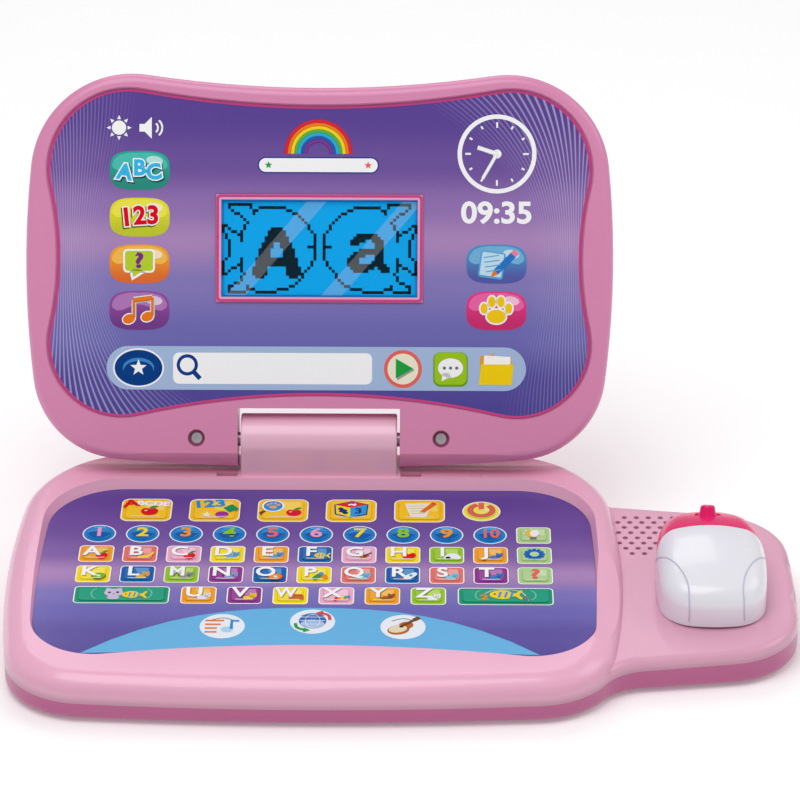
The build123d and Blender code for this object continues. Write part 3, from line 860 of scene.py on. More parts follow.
        set_finish("power_key", key_plastic("power"))
        coral = ink("coral")
        arc = [(4.6 * sin(radians(a)), 4.6 * cos(radians(a))) for a in range(38, 340, 20)]
        mark = key_painted_highlights("power", POWER_X, y, 10.5, 10.5)
        mark += [stroke(coral, arc, 2.3, POWER_X, y, 5), card(coral, POWER_X, y + 3.4, 2.3, 5.2, 0.3, 5)]
        mark.append(round_key_line(POWER_X, y, POWER_KEY))
        finish_print("print_power", mark, DECK, DOME_TOP, "power_key")
        return {"FINISHED"}


class MAKE_OT_other_keys(bpy.types.Operator):
    """Print the three function keys and the two wide keys."""

    bl_idname = "laptop.other_keys"
    bl_label = "Function and wide keys"

    def execute(self, context):
        black, white = ink("black"), ink("white")
        x = 5 * PITCH
        set_finish("function_keys", key_plastic("function"))
        parts = []
        for y in (0, ROWS[0], ROWS[1]):
            parts += key_painted_highlights("function", x, y, LETTER_KEY[0] - 4, LETTER_KEY[1] - 4)
            parts.append(key_line(x, y, *LETTER_KEY, 2))
        parts.append(disc(ink("bulb", 252, 190, 20), x - 0.3, 0.5, 5.6, 5.8, 4))
        parts.append(
            shape(
                ink("glass", 245, 246, 248), [(-0.3, 3.2), (1.6, 2.7), (2.3, 0.6), (1.4, -1.4), (-0.3, -2.0)],
                x, 0, 5,
            )
        )
        parts.append(card(ink("socket", 120, 120, 130), x - 0.2, -3.2, 2.8, 2.0, 0.4, 5))
        for i in range(5):
            angle = radians(60 + 40 * i)
            near, far = 3.3, 4.1
            parts.append(
                stroke(
                    white, [(near * cos(angle), near * sin(angle)), (far * cos(angle), far * sin(angle))],
                    0.45, x - 0.3, 0.6, 4,
                )
            )
        gear = ink("gear", 0, 105, 190)
        y = ROWS[0]
        for i in range(6):
            parts.append(card(gear, x, y, 8.7, 1.6, 0.2, 4, 30 * i))
        parts.append(disc(gear, x, y, 6.8, 6.8, 5))
        parts.append(disc(ink("gear_hole", 190, 225, 160), x, y, 3.8, 3.8, 6))
        parts.append(lettering(ink("coral"), "?", x, ROWS[1] + 0.1, 9.8, 0.34, 1.25, 5))
        finish_print("print_functions", parts, DECK, DOME_TOP, "function_keys")

        lemon, sea = ink("fish_yellow"), ink("fish_blue")
        rim = ink("wide_pale", *paler(KEY_INKS["wide"], 0.4))
        fur, nose = ink("kitten", 208, 196, 226), ink("nose", 235, 90, 120)
        y = ROWS[2]
        for name, x in WIDE_X.items():
            set_finish(name, key_plastic("wide"))
            marks = []
            for side in (-1, 1):
                marks.append(
                    stroke(
                        rim,
                        [(side * 10.2, 3.6), (side * 11.6, 2.4), (side * 11.6, -2.4), (side * 10.2, -3.6)],
                        1.0, x, y, 2,
                    )
                )
            if name.endswith("left"):
                marks += [
                    disc(fur, x - 3.2, y + 0.6, 7.6, 5.8, 4), disc(fur, x - 3.2, y - 3.0, 5.0, 2.8, 3),
                    shape(fur, [(-6.7, 1.8), (-6.2, 4.4), (-3.6, 3.4), (-5, 1.2)], x, y, 3, smooth=False),
                    shape(fur, [(0.3, 1.8), (-0.2, 4.4), (-2.8, 3.4), (-1.4, 1.2)], x, y, 3, smooth=False),
                    disc(black, x - 4.9, y + 0.7, 1.2, 1.3, 5, 0, 12),
                    disc(black, x - 1.6, y + 0.9, 1.2, 1.3, 5, 0, 12),
                    disc(nose, x - 3.1, y - 0.4, 1.1, 0.8, 5, 0, 10),
                ]
                marks += fish(x + 4.4, y - 1.0, lemon, sea, 6, 1.6, 0)
            else:
                marks += fish(x - 1.0, y + 0.2, lemon, sea, 5, 2.1, 0)
                marks.append(
                    stroke(
                        ink("rod", 225, 225, 230),
                        [(-8.5, 1.0), (-5.0, 3.7), (1.0, 4.2), (6.4, 2.2), (9.2, -3.8)], 0.5, x, y, 4,
                    )
                )
                marks.append(disc(ink("reel", 120, 125, 130), x + 8.2, y - 2.2, 3.0, 3.0, 5, 0, 16))
                marks.append(lettering(ink("tangerine"), "2", x - 8.6, y - 1.9, 5.0, 0.24, 1.2, 5))
            marks.append(key_line(x, y, *WIDE_KEY, 2))
            finish_print("print_" + name, marks, DECK, DOME_TOP, name)
        return {"FINISHED"}


class MAKE_OT_deck_print(bpy.types.Operator):
    """Print the key panel: its background, the blue field and three round pictures."""

    bl_idname = "laptop.deck_print"
    bl_label = "Deck print"

    def execute(self, context):
        tone = colours()

        def background(tree):
            along = on_surface(tree, DECK)["Y"]
            stops = [
                (-100, rgb(80, 66, 150)),
                (-76, rgb(92, 80, 162)),
                (-60, rgb(108, 102, 182)),
                (-47, rgb(126, 116, 190)),
                (-31, tone.print_mauve),
                (-15, rgb(130, 98, 170)),
                (4, rgb(108, 78, 160)),
                (36, tone.print_purple),
            ]
            return ramp(tree, along, -100, 40, stops)

        set_finish(
            "keyboard_film",
            plastic(
                "deck_film", tone.print_purple, 0.3, coat=0.06, unevenness=0.02, bump=0.015,
                source=background, specular=0.25,
            ),
        )
        white, black = ink("white"), ink("black")
        parts = []
        field = plastic("field_blue", tone.print_blue, 0.3, coat=0.06, unevenness=0.03, bump=0, specular=0.15)
        crest = [(90.5 * (i / 8 - 1), -57.0 - 34.0 * abs(i / 8 - 1) ** 2.5) for i in range(17)]
        foot = [(88.0 * (1 - i / 8), -85.6 - 6.4 * (1 - i / 8) ** 2) for i in range(17)]
        parts.append(shape(field, crest + foot[1:-1], layer=1, smooth=False))

        pale = ink("medal", 238, 244, 252)
        grey = ink("arc_grey", 150, 150, 158)
        for x, y in ((-35.5, -71), (0.4, -67.3), (36.5, -71)):
            parts.append(disc(pale, x, y, 18, None, 2, 0, 64))
            parts.append(stroke(grey, [(-4.6, 4.3), (0, 6.1), (4.6, 4.3)], 0.6, x, y, 3))
        x, y = -35.5, -71
        for i, far in enumerate((0.6, -0.6, -2, -2)):
            parts.append(stroke(ink("tune"), [(-6.9, 4.1 - 2.8 * i), (far, 4.1 - 2.8 * i)], 1.1, x, y, 3))
        parts.append(disc(ink("note_head", 175, 218, 240), x + 2.0, y - 2.4, 4.8, 4.2, 4))
        parts.append(
            stroke(
                ink("note_blue", 20, 150, 215), [(3.7, -2.0), (3.7, 3.9), (6.6, 3.9)], 1.3, x, y, 5,
                smooth=False,
            )
        )
        x, y = 0.4, -67.3
        parts.append(disc(ink("globe", 50, 110, 190), x, y + 0.4, 11, None, 4, 0, 40))
        parts.append(disc(ink("globe_pale", 170, 195, 232), x, y - 1.8, 9.4, 6.4, 5, 0, 30))
        for width in (1.2, 6.0):
            parts.append(hoop(white, x, y + 0.4, 10, 9.4, 6))
            parts[-1].scale = (width / 10, 1, 1)
        for dy in (-2.2, 0.4, 3.0):
            parts.append(stroke(white, [(-5, dy), (5, dy)], 0.35, x, y + 0.2, 6))
        red, green = ink("arrow_red", 228, 80, 60), ink("arrow_green", 20, 165, 60)
        parts.append(stroke(red, [(6.9, 1.2), (6.2, 4.6), (3.4, 6.4)], 1.3, x, y, 6))
        parts.append(shape(red, [(1.2, 6.6), (3.9, 8.0), (4.3, 6.2), (3.4, 4.6)], x, y, 6, smooth=False))
        parts.append(stroke(green, [(-6.9, -1.4), (-6.0, -4.6), (-3.2, -6.2)], 1.3, x, y, 6))
        parts.append(
            shape(green, [(-0.8, -6.5), (-3.4, -8.0), (-3.9, -6.2), (-3.2, -4.7)], x, y, 6, smooth=False)
        )
        x, y = 36.5, -71
        wood, belly = ink("guitar"), ink("guitar_top", 238, 220, 190)
        parts += [
            disc(wood, x - 1.8, y - 2.2, 9.0, 6.8, 4, 20), disc(wood, x + 1.2, y + 1.2, 6.0, 5.2, 4, 20),
            disc(belly, x - 2.0, y - 1.6, 7.6, 5.2, 5, 20),
        ]
        parts.append(stroke(ink("neck"), [(-0.6, 0.4), (4.8, 5.4)], 1.4, x, y, 6))
        parts.append(card(ink("neck"), x + 5.4, y + 6.0, 3.0, 2.2, 0.2, 6, 42))
        parts.append(disc(black, x - 0.6, y + 0.2, 1.9, 1.5, 6, 20))
        finish_print("deck_prints", parts, DECK, 0, "base")
        return {"FINISHED"}


def calc(tree, job, first, second=0.0):
    """One sum on sockets or numbers."""
    node = tree.nodes.new("ShaderNodeMath")
    node.operation = job
    for socket, value in zip(node.inputs, (first, second)):
        if isinstance(value, (int, float)):
            socket.default_value = value
        else:
            tree.links.new(value, socket)
    return node.outputs[0]


def blended(tree, share, first, second):
    """The second colour over the first by a share."""
    mix = tree.nodes.new("ShaderNodeMix")
    mix.data_type = "RGBA"
    tree.links.new(share, mix.inputs["Factor"])
    for socket, value in ((mix.inputs["A"], first), (mix.inputs["B"], second)):
        if isinstance(value, tuple):
            socket.default_value = (*value, 1)
        else:
            tree.links.new(value, socket)
    return mix.outputs["Result"]


def sweeping_lines(tree, spots, waist_y, edge, count):
    """Fine lines up both sides, close together at the waist. They fan out widely at two opposite corners."""
    side = calc(tree, "MULTIPLY", calc(tree, "SIGN", spots["X"]), -1.0)
    away = calc(tree, "MULTIPLY", calc(tree, "SUBTRACT", spots["Y"], waist_y), side)
    square = calc(tree, "MULTIPLY", away, away)
    spread = calc(tree, "SUBTRACT", 0.0082, calc(tree, "MULTIPLY", away, 0.00006))
    width = calc(tree, "ADD", calc(tree, "MULTIPLY", square, spread), 22.0)
    reach = calc(tree, "ADD", calc(tree, "MULTIPLY", square, 0.0012), edge)
    along = calc(tree, "DIVIDE", calc(tree, "SUBTRACT", reach, calc(tree, "ABSOLUTE", spots["X"])), width)
    wave = calc(tree, "SINE", calc(tree, "MULTIPLY", along, 2 * pi * count))
    crisp = calc(
        tree, "MINIMUM",
        calc(tree, "MAXIMUM", calc(tree, "MULTIPLY", calc(tree, "SUBTRACT", wave, 0.2), 1.6), 0), 1,
    )
    inside = calc(
        tree, "MINIMUM",
        calc(tree, "MAXIMUM", calc(tree, "MULTIPLY", calc(tree, "SUBTRACT", 1.0, along), 1.4), 0), 1,
    )
    strength = calc(tree, "SUBTRACT", 0.36, calc(tree, "MULTIPLY", away, 0.0022))
    return calc(tree, "MULTIPLY", calc(tree, "MULTIPLY", crisp, inside), strength)


def screen_background(tree):
    """Purple at the top, a mauve band at the middle, blue at the foot, and the sweeping lines."""
    tone = colours()
    spots = on_surface(tree, LID)
    stops = [
        (0, rgb(72, 62, 148)),
        (24, rgb(84, 74, 158)),
        (44, rgb(112, 108, 182)),
        (66, rgb(136, 124, 190)),
        (84, tone.print_mauve),
        (98, rgb(150, 116, 182)), (116, rgb(112, 82, 160)), (136, tone.print_purple),
    ]
    lines = sweeping_lines(tree, spots, 77, 111, 25)
    return blended(tree, lines, ramp(tree, spots["Y"], 0, 150, stops), rgb(215, 210, 240))


def painted_edge_shade(name, node, ink_used, width, lift, body):
    """A thin line of painted shade round the edge of a printed sheet, where the shaded recess wall meets it:
    the border of a merged copy of its top face.
    """
    deselect()
    source = NODES[node]
    source.select_set(True)
    bpy.context.view_layer.objects.active = source
    bpy.ops.object.duplicate()
    line = bpy.context.object
    out = (LID if body == "lid" else DECK).to_3x3() @ Vector((0, 0, 1000))
    for face in line.data.polygons:
        face.select = face.normal.dot(out) < 0.99
    bpy.context.tool_settings.mesh_select_mode = (False, False, True)
    bpy.ops.object.mode_set(mode="EDIT")
    bpy.ops.mesh.delete(type="FACE")
    bpy.ops.mesh.select_all(action="SELECT")
    bpy.ops.mesh.remove_doubles(threshold=0.000005)
    bpy.ops.mesh.dissolve_limited(angle_limit=0.01)
    bpy.ops.mesh.select_all(action="SELECT")
    bpy.ops.mesh.inset(thickness=width)
    bpy.ops.mesh.delete(type="FACE")
    bpy.ops.mesh.select_all(action="DESELECT")
    bpy.ops.object.mode_set(mode="OBJECT")
    inward = LID.inverted()
    for face in line.data.polygons:
        spot = inward @ face.center
        face.select = abs(spot.x) < FRAME_REACH[0] and FRAME_REACH[1] < spot.y < FRAME_REACH[2]
    bpy.ops.object.mode_set(mode="EDIT")
    bpy.ops.mesh.delete(type="FACE")
    bpy.ops.mesh.select_all(action="SELECT")
    bpy.ops.transform.translate(value=out * lift)
    bpy.ops.object.mode_set(mode="OBJECT")
    line.data.materials.clear()
    line.data.materials.append(ink_used)
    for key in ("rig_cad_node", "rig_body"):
        if key in line:
            del line[key]
    line.name = line.data.name = name
    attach(line, body)


class MAKE_OT_lid_print(bpy.types.Operator):
    """Print the lid's sheet: background, fine sweeping lines, a deep pink edge line of painted shade, the bar
    and small signs.
    """

    bl_idname = "laptop.lid_print"
    bl_label = "Lid print"

    def execute(self, context):
        tone = colours()
        set_finish(
            "screen_film",
            plastic(
                "lid_film", tone.print_purple, 0.34, coat=0.06, unevenness=0.02, bump=0.015,
                source=screen_background, specular=0.25,
            ),
        )
        white, navy = ink("white"), ink("navy")
        parts = []
        bar = plastic("bar_blue", rgb(168, 192, 228), 0.32, coat=0.2, unevenness=0.04, bump=0)
        parts.append(card(bar, -1.2, 30.1, 177, 18.4, 9.2, 2, segments=10))
        parts.append(card(white, -19.6, 30.0, 84.0, 13.2, 2.5, 3))
        parts.append(hoop(navy, -55.6, 31.4, 9.0, 6.2, 4))
        parts.append(stroke(navy, [(-52.6, 28.2), (-50.2, 25.6)], 1.9, layer=4))

        parts.append(disc(white, -76.2, 30.1, 21.6, 16.5, 3, 0, 48))
        parts.append(disc(ink("badge"), -76.2, 30.1, 20.2, 15.1, 4, 0, 48))
        parts.append(disc(ink("badge_light", 60, 140, 205), -76.2, 30.1, 13.2, 8.4, 5, 0, 40))
        parts.append(disc(ink("badge"), -76.2, 29.1, 12.4, 7.6, 6, 0, 40))
        parts.append(star(-76.2, 30.1, 3.6, white, 7))

        x, y = 35.4, 30.0
        parts.append(disc(ink("coral"), x, y, 16, None, 3, 0, 48))
        parts.append(disc(ink("cream", 250, 244, 230), x, y, 13, None, 4, 0, 48))
        parts.append(
            shape(
                ink("shade_grey", 160, 160, 160), [(-2.4, 3.8), (5.0, -0.4), (-2.4, -4.8), (-2.4, -0.4)], x,
                y, 5, smooth=False,
            )
        )
        parts.append(
            shape(
                ink("go_green"), [(-3.0, 4.4), (4.4, 0.2), (-3.0, -4.0), (-3.0, 0.2)], x, y, 6, smooth=False
            )
        )

        x, y = 55.5, 29.9
        parts.append(card(ink("chat_dark", 110, 165, 15), x, y, 14.6, 14.6, 3, 3))
        parts.append(card(ink("chat_lime", 160, 205, 30), x, y + 0.4, 13.6, 13.6, 2.6, 4))
        parts.append(disc(white, x, y + 0.6, 10.6, 8.2, 5))
        parts.append(
            shape(white, [(-3.4, -1.6), (-3.8, -5.0), (0.2, -3.0), (-1.0, -1.4)], x, y, 5, smooth=False)
        )
        for i in (-1, 0, 1):
            parts.append(disc(ink("dot_grey", 110, 120, 130), x + 2.6 * i, y + 0.6, 1.4, None, 6, 0, 14))

        x, y = 74.7, 29.7
        parts.append(
            shape(
                ink("folder_back", 236, 165, 20),
                [(-6.6, -5.6), (-6.8, 5.8), (-1.2, 6.8), (0.2, 5.2), (6.6, 5.2), (6.6, -5.6)], x, y, 3,
                smooth=False,
            )
        )
        parts.append(card(white, x + 0.3, y + 1.2, 11.2, 9.4, 0.4, 4, -3))
        parts.append(
            shape(
                ink("folder_front", 252, 214, 10), [(-7.2, -6.2), (-6.4, 2.4), (7.4, 2.4), (6.6, -6.2)], x, y,
                5, smooth=False,
            )
        )

        x, y = -84.7, 131.3
        parts.append(disc(white, x, y, 6, None, 2, 0, 32))
        for i in range(8):
            angle = pi / 4 * i
            parts.append(shape(white, [(3.6, -0.8), (5.3, 0), (3.6, 0.8), (3.6, 0)], x, y, 2, 45 * i, False))
        x, y = -71.3, 131.3
        parts.append(
            shape(
                white, [(-4.8, 1.6), (-2.6, 1.6), (0.4, 4.6), (0.4, -4.6), (-2.6, -1.6), (-4.8, -1.6)], x, y,
                2, smooth=False,
            )
        )
        for reach in (2.6, 4.4):
            parts.append(
                stroke(
                    white, [(reach * cos(a), reach * sin(a)) for a in (-0.8, -0.4, 0, 0.4, 0.8)], 0.9,
                    x + 0.4, y, 2,
                )
            )

        bands = (
            (226, 40, 60), (245, 130, 30), (252, 220, 40), (90, 185, 70), (40, 180, 225), (50, 90, 180),
            (130, 60, 150),
        )
        width = (14.4 - 4.7) / len(bands)
        for i, swatch in enumerate(bands):
            reach = 14.4 - width * (i + 0.5)
            arc = [(reach * cos(pi * k / 8), reach * sin(pi * k / 8)) for k in range(9)]
            parts.append(stroke(ink(f"bow_{i}", *swatch), arc, width + 0.1, -0.6, 120.6, 2))
        parts.append(card(navy, -0.6, 115.8, 51, 6.8, 3.3, 3, segments=8))
        parts.append(card(white, -0.6, 115.8, 50, 5.8, 2.8, 4, segments=8))
        parts.append(star(-21.6, 115.8, 1.7, ink("go_green"), 5))
        parts.append(star(20.4, 115.8, 1.7, ink("coral"), 5))

        x, y = 74.7, 120.8
        parts.append(hoop(white, x, y, 33.3, 29.6, 2, 72))
        parts.append(disc(white, x, y, 3.8, None, 3, 0, 20))
        for turn, reach, thick in ((-(9.6 / 12) * 360, 8.6, 1.9), (-(35 / 60) * 360, 12.0, 1.5)):
            tip = (-reach * sin(radians(turn)), reach * cos(radians(turn)))
            parts.append(stroke(white, [(0, 0), tip], thick, x, y, 3))
        for i in range(12):
            angle = pi / 6 * i
            long = 2.4 if i % 3 == 0 else 1.4
            parts.append(
                stroke(
                    white,
                    [
                        (13.4 * cos(angle), 13.4 * sin(angle)),
                        ((13.4 - long) * cos(angle), (13.4 - long) * sin(angle)),
                    ],
                    0.9, x, y, 3,
                )
            )
        parts.append(lettering(white, "09:35", x, 95.6, 12.6, 0.36, 1.08, 2))
        finish_print("lid_signs", parts, LID, SHEET_TOP, "lid")
        # Painted shade: a deep pink line along the recess wall round the lid's print.
        painted_edge_shade(
            "lid_edge_line", "screen_film", plastic("edge_pink_ink", tone.edge_shade_pink, 0.3, bump=0), 0.0011,
            0.00004, "lid",
        )
        return {"FINISHED"}


def pillow(x, y, name, top, low, layer=2):
    """A glossy button print: squarish, with a pale upper part and a highlight."""
    outline = []
    for i in range(28):
        angle = 2 * pi * i / 28
        flat = 2 / 3.2
        c, s = cos(angle), sin(angle)
        outline.append(
            (12.65 * abs(c) ** flat * (1 if c > 0 else -1), 8.2 * abs(s) ** flat * (1 if s > 0 else -1))
        )

    def colour(tree):
        return ramp(tree, on_surface(tree, LID)["Y"], y - 8, y + 8, [(y - 7, rgb(*low)), (y + 6, rgb(*top))])

    face = plastic("button_" + name, rgb(*top), 0.3, coat=0.3, unevenness=0.03, bump=0, source=colour)
    pale = ink(name + "_gloss", *paler(top, 0.3))
    return [
        shape(face, outline, x, y, layer),
        shape(
            pale,
            [(-11.2, 1.0), (-10.2, 5.2), (-6, 7.2), (0, 7.5), (6, 7.2), (10.2, 5.2), (11.2, 1.0), (0, 2.6)],
            x, y, layer + 1,
        ),
        disc(ink("gleam_" + name, *paler(top, 0.75)), x + 6.2, y + 4.2, 7.0, 3.8, layer + 2, -8, 24),
    ]


class MAKE_OT_lid_buttons(bpy.types.Operator):
    """Print the six glossy pictures beside the display."""

    bl_idname = "laptop.lid_buttons"
    bl_label = "Lid buttons"

    def execute(self, context):
        white = ink("white")
        left, right = -75.9, 74.7
        parts = []
        y = 113.3
        parts += pillow(left, y, "teal", (0, 172, 152), (0, 140, 125))
        for i, letter in enumerate("ABC"):
            x, rise, turn = left - 6.4 + 6.2 * i, (-0.9, 0.9, -0.8)[i], (-8, 0, 8)[i]
            parts.append(
                lettering(
                    ink("teal_dark", 0, 85, 90), letter, x + 0.5, y + rise - 0.6, 9.0, 0.9, 1.0, 5, turn
                )
            )
            parts.append(lettering(white, letter, x, y + rise, 9.0, 0.9, 1.0, 6, turn))
            parts.append(
                lettering(ink("letter_sky", 50, 190, 240), letter, x, y + rise, 9.0, 0.38, 1.0, 7, turn)
            )
        y = 93.6
        parts += pillow(left, y, "leaf_yellow", (240, 230, 0), (198, 205, 15))
        for i, digit in enumerate("123"):
            x, rise, turn = left - 5.6 + 5.6 * i, (-0.3, 0.4, 0.6)[i], (6, 4, 0)[i]
            parts.append(
                lettering(ink("olive", 96, 104, 0), digit, x - 0.5, y + rise - 0.6, 10.6, 0.9, 1.0, 5, turn)
            )
            parts.append(lettering(white, digit, x, y + rise, 10.6, 0.9, 1.0, 6, turn))
            parts.append(lettering(ink("digit_red", 230, 0, 25), digit, x, y + rise, 10.6, 0.4, 1.0, 7, turn))
        y = 73.9
        parts += pillow(left, y, "amber", (252, 165, 5), (232, 105, 18))
        parts += [
            card(white, left - 0.2, y + 1.3, 13.4, 10.0, 1.8, 5),
            shape(white, [(-4.2, -3.0), (-3.2, -7.0), (2.6, -3.4), (-2, -2)], left, y, 5, smooth=False),
            card(ink("speech_lime"), left - 0.2, y + 1.3, 11.8, 8.4, 1.2, 6),
            shape(
                ink("speech_lime"), [(-3.2, -2.6), (-2.6, -5.6), (1.4, -2.8), (-2, -2)], left, y, 6,
                smooth=False,
            ),
            lettering(ink("query_violet", 130, 45, 140), "?", left - 0.2, y + 1.2, 8.6, 0.36, 1.3, 7),
        ]
        y = 54.3
        parts += pillow(left, y, "grape", (148, 66, 160), (112, 42, 136))
        for used, swell, layer in ((white, 0.9, 5), (ink("tune"), 0, 6)):
            parts += [
                disc(used, left - 4.4, y - 3.6, 5.2 + swell, 3.9 + swell, layer, 20),
                disc(used, left + 3.4, y - 2.6, 5.2 + swell, 3.9 + swell, layer, 20),
                stroke(used, [(-2.3, -3.0), (-2.3, 4.4)], 1.2 + swell, left, y, layer),
                stroke(used, [(5.5, -2.0), (5.5, 5.4)], 1.2 + swell, left, y, layer),
                stroke(used, [(-2.3, 4.3), (5.5, 5.3)], 2.0 + swell, left, y, layer),
            ]
        y = 74.4
        parts += pillow(right, y, "ocean", (60, 150, 208), (76, 84, 168))
        parts += [
            card(ink("pad_edge", 90, 170, 220), right - 2.0, y - 0.4, 10.6, 11.2, 1.0, 5, -8),
            card(ink("pad", 196, 230, 248), right - 2.0, y - 0.2, 9.2, 9.8, 0.6, 6, -8),
            shape(
                ink("pencil_blue", 40, 120, 205), [(-1.2, -2.4), (6.0, 4.8), (8.0, 2.9), (0.7, -4.3)], right,
                y, 7, smooth=False,
            ),
            shape(
                ink("tune"), [(-1.2, -2.4), (0.7, -4.3), (-2.6, -5.6), (-2.6, -5.6)], right, y, 7,
                smooth=False,
            ),
            shape(
                ink("rubber_pink", 245, 130, 165), [(6.0, 4.8), (7.4, 6.2), (9.4, 4.3), (8.0, 2.9)], right, y,
                7, smooth=False,
            ),
        ]
        for i in range(4):
            parts.append(
                stroke(
                    ink("pad_rule", 110, 175, 215),
                    [(-5.4 + 0.3 * i, 2.8 - 2.0 * i), (1.0 + 0.3 * i, 3.7 - 2.0 * i)], 0.45, right, y, 7,
                )
            )
        y = 54.7
        parts += pillow(right, y, "magenta", (236, 40, 134), (205, 12, 104))
        pads = (
            (0, -2.4, 8.0, 5.8), (-5.2, 1.0, 3.0, 4.4), (-1.9, 3.8, 3.1, 4.6), (1.9, 3.8, 3.1, 4.6),
            (5.2, 1.0, 3.0, 4.4),
        )
        for used, swell, layer in ((white, 1.3, 5), (ink("paw_yellow", 250, 205, 20), 0, 6)):
            parts += [disc(used, right + dx, y + dy, w + swell, h + swell, layer) for dx, dy, w, h in pads]
        finish_print("lid_button_prints", parts, LID, SHEET_TOP, "lid")
        return {"FINISHED"}


CELLS_X, CELLS_Y = 64, 32
CAPITAL = (
    "......XXXX......", ".....XXXXXX.....", ".....XXXXXX.....", "....XXXXXXXX....", "....XXXXXXXX....",
    "...XXXX..XXXX...",
    "...XXXX..XXXX...", "..XXXX....XXXX..", "..XXXX....XXXX..", "..XXXX....XXXX..", ".XXXXXXXXXXXXXX.",
    ".XXXXXXXXXXXXXX.",
    ".XXXXXXXXXXXXXX.", "XXXXX......XXXXX", "XXXXX......XXXXX", "XXXXX......XXXXX", ".XXX........XXX.",
)
SMALL = (
    "...XXXXXXX....", "..XXXXXXXXX...", ".XXXXX..XXXX..", ".XXX.....XXX..", ".........XXX..",
    "....XXXXXXXX..", "..XXXXXXXXXX..",
    ".XXXXX...XXX..", "XXXX.....XXX..", "XXXX....XXXX..", "XXXXXXXXXXXXX.", ".XXXXXXXX.XXXX",
    "..XXXXX....XXX",
)
FISH_LINES = (
    ((2, 1), (9, 1), (10, 4), (12, 2), (19, 2), (22, 3), (25, 5), (28, 8), (30, 12), (30, 15), (28, 15)),
    (
        (30, 15), (30, 19), (28, 22), (25, 26), (21, 29), (13, 30), (9, 29), (8, 28), (7, 30), (2, 30),
        (2, 28), (5, 27), (7, 24), (6, 22), (6, 19),
    ),
    (
        (6, 19), (5, 21), (1, 24), (0, 24), (0, 21), (2, 17), (2, 14), (1, 12), (0, 8), (1, 8), (5, 11),
        (6, 13), (6, 10), (8, 7), (6, 5), (2, 2), (2, 1),
    ),
)


def lit_cells():
    """The dark cells of the display: two mirrored fish with a big and a small letter in them."""
    dark = set()
    for line in FISH_LINES:
        for (x0, y0), (x1, y1) in zip(line, line[1:]):
            steps = max(abs(x1 - x0), abs(y1 - y0))
            for i in range(steps + 1):
                x, y = round(x0 + (x1 - x0) * i / steps), round(y0 + (y1 - y0) * i / steps)
                dark |= {(x, y), (CELLS_X - 1 - x, y)}
    for rows, left, top in ((CAPITAL, 10, 9), (SMALL, 41, 11)):
        for j, row in enumerate(rows):
            dark |= {(left + i, top + j) for i, cell in enumerate(row) if cell == "X"}
    return dark


class MAKE_OT_display(bpy.types.Operator):
    """Finish the display: blue glass with a slight painted glow, dark cells, clear window with two painted
    reflections and its pink frame with lines of painted shade and painted highlight.
    """

    bl_idname = "laptop.display"
    bl_label = "Display"

    def execute(self, context):
        tone = colours()
        # Painted light: the blue glass glows a little though the display has no lamp.
        set_finish(
            "display_module",
            plastic(
                "display_glass", tone.display_blue, 0.5, unevenness=0.04, bump=0, glow=0.22, specular=0.1,
            ),
        )
        set_finish(
            "display_window",
            plastic(
                "display_window", rgb(60, 150, 190), 0.06, unevenness=0, bump=0, see_through=0.03,
                specular=0.2,
            ),
        )
        width, height, middle = DISPLAY_WIDTH, DISPLAY_HEIGHT, DISPLAY_MIDDLE
        deselect()
        bpy.ops.mesh.primitive_grid_add(x_subdivisions=CELLS_X, y_subdivisions=CELLS_Y, size=1)
        grid = held(
            plastic("crystal_cells", rgb(8, 6, 12), 0.6, unevenness=0.05, bump=0, specular=0.05), 0, middle,
            1, 0,
        )
        grid.scale = (width, height, 1)
        dark = lit_cells()
        context.tool_settings.mesh_select_mode = (False, False, True)
        for face in grid.data.polygons:
            x, y = int((face.center.x + 0.5) * CELLS_X), int((0.5 - face.center.y) * CELLS_Y)
            face.select = (x, y) not in dark
        bpy.ops.object.mode_set(mode="EDIT")
        bpy.ops.mesh.delete(type="FACE")
        bpy.ops.object.mode_set(mode="OBJECT")
        finish_print("display_cells", [grid], LID, CELLS_LEVEL, "lid")

        # Painted reflections: two pale diagonal bands over the window.
        shine = plastic("window_painted_reflection", (1, 1, 1), 0.4, unevenness=0, bump=0, see_through=0.1, specular=0.05)
        low, high = middle - height / 2 + 0.6, middle + height / 2 - 0.6
        lean = (high - low) * 0.86
        bands = []
        for x, wide in ((-39.5, 8.4), (0.8, 8.8)):
            bands.append(
                shape(
                    shine, [(x, low), (x + lean, high), (x + lean + wide, high), (x + wide, low)], layer=1,
                    smooth=False,
                )
            )
        finish_print("painted_window_reflections", bands, LID, SHINE_LEVEL, "lid")

        # Painted light on the frame's bevel: the deep pink outer ring is painted shade, the pale pink inner
        # ring a painted highlight.
        rims = [
            card(
                plastic("frame_painted_shade", tone.edge_shade_pink, 0.25, coat=0.4, bump=0), 0, middle, 87.0, 45.2,
                1.6, 1, bar=1.2,
            ),
            card(
                plastic("frame_painted_highlight", rgb(240, 168, 206), 0.25, coat=0.4, bump=0), 0, middle, 84.7, 42.9,
                0.9, 2, bar=0.9,
            ),
        ]
        finish_print("display_frame_painted_light", rims, LID, FRAME_LEVEL, "lid")
        return {"FINISHED"}


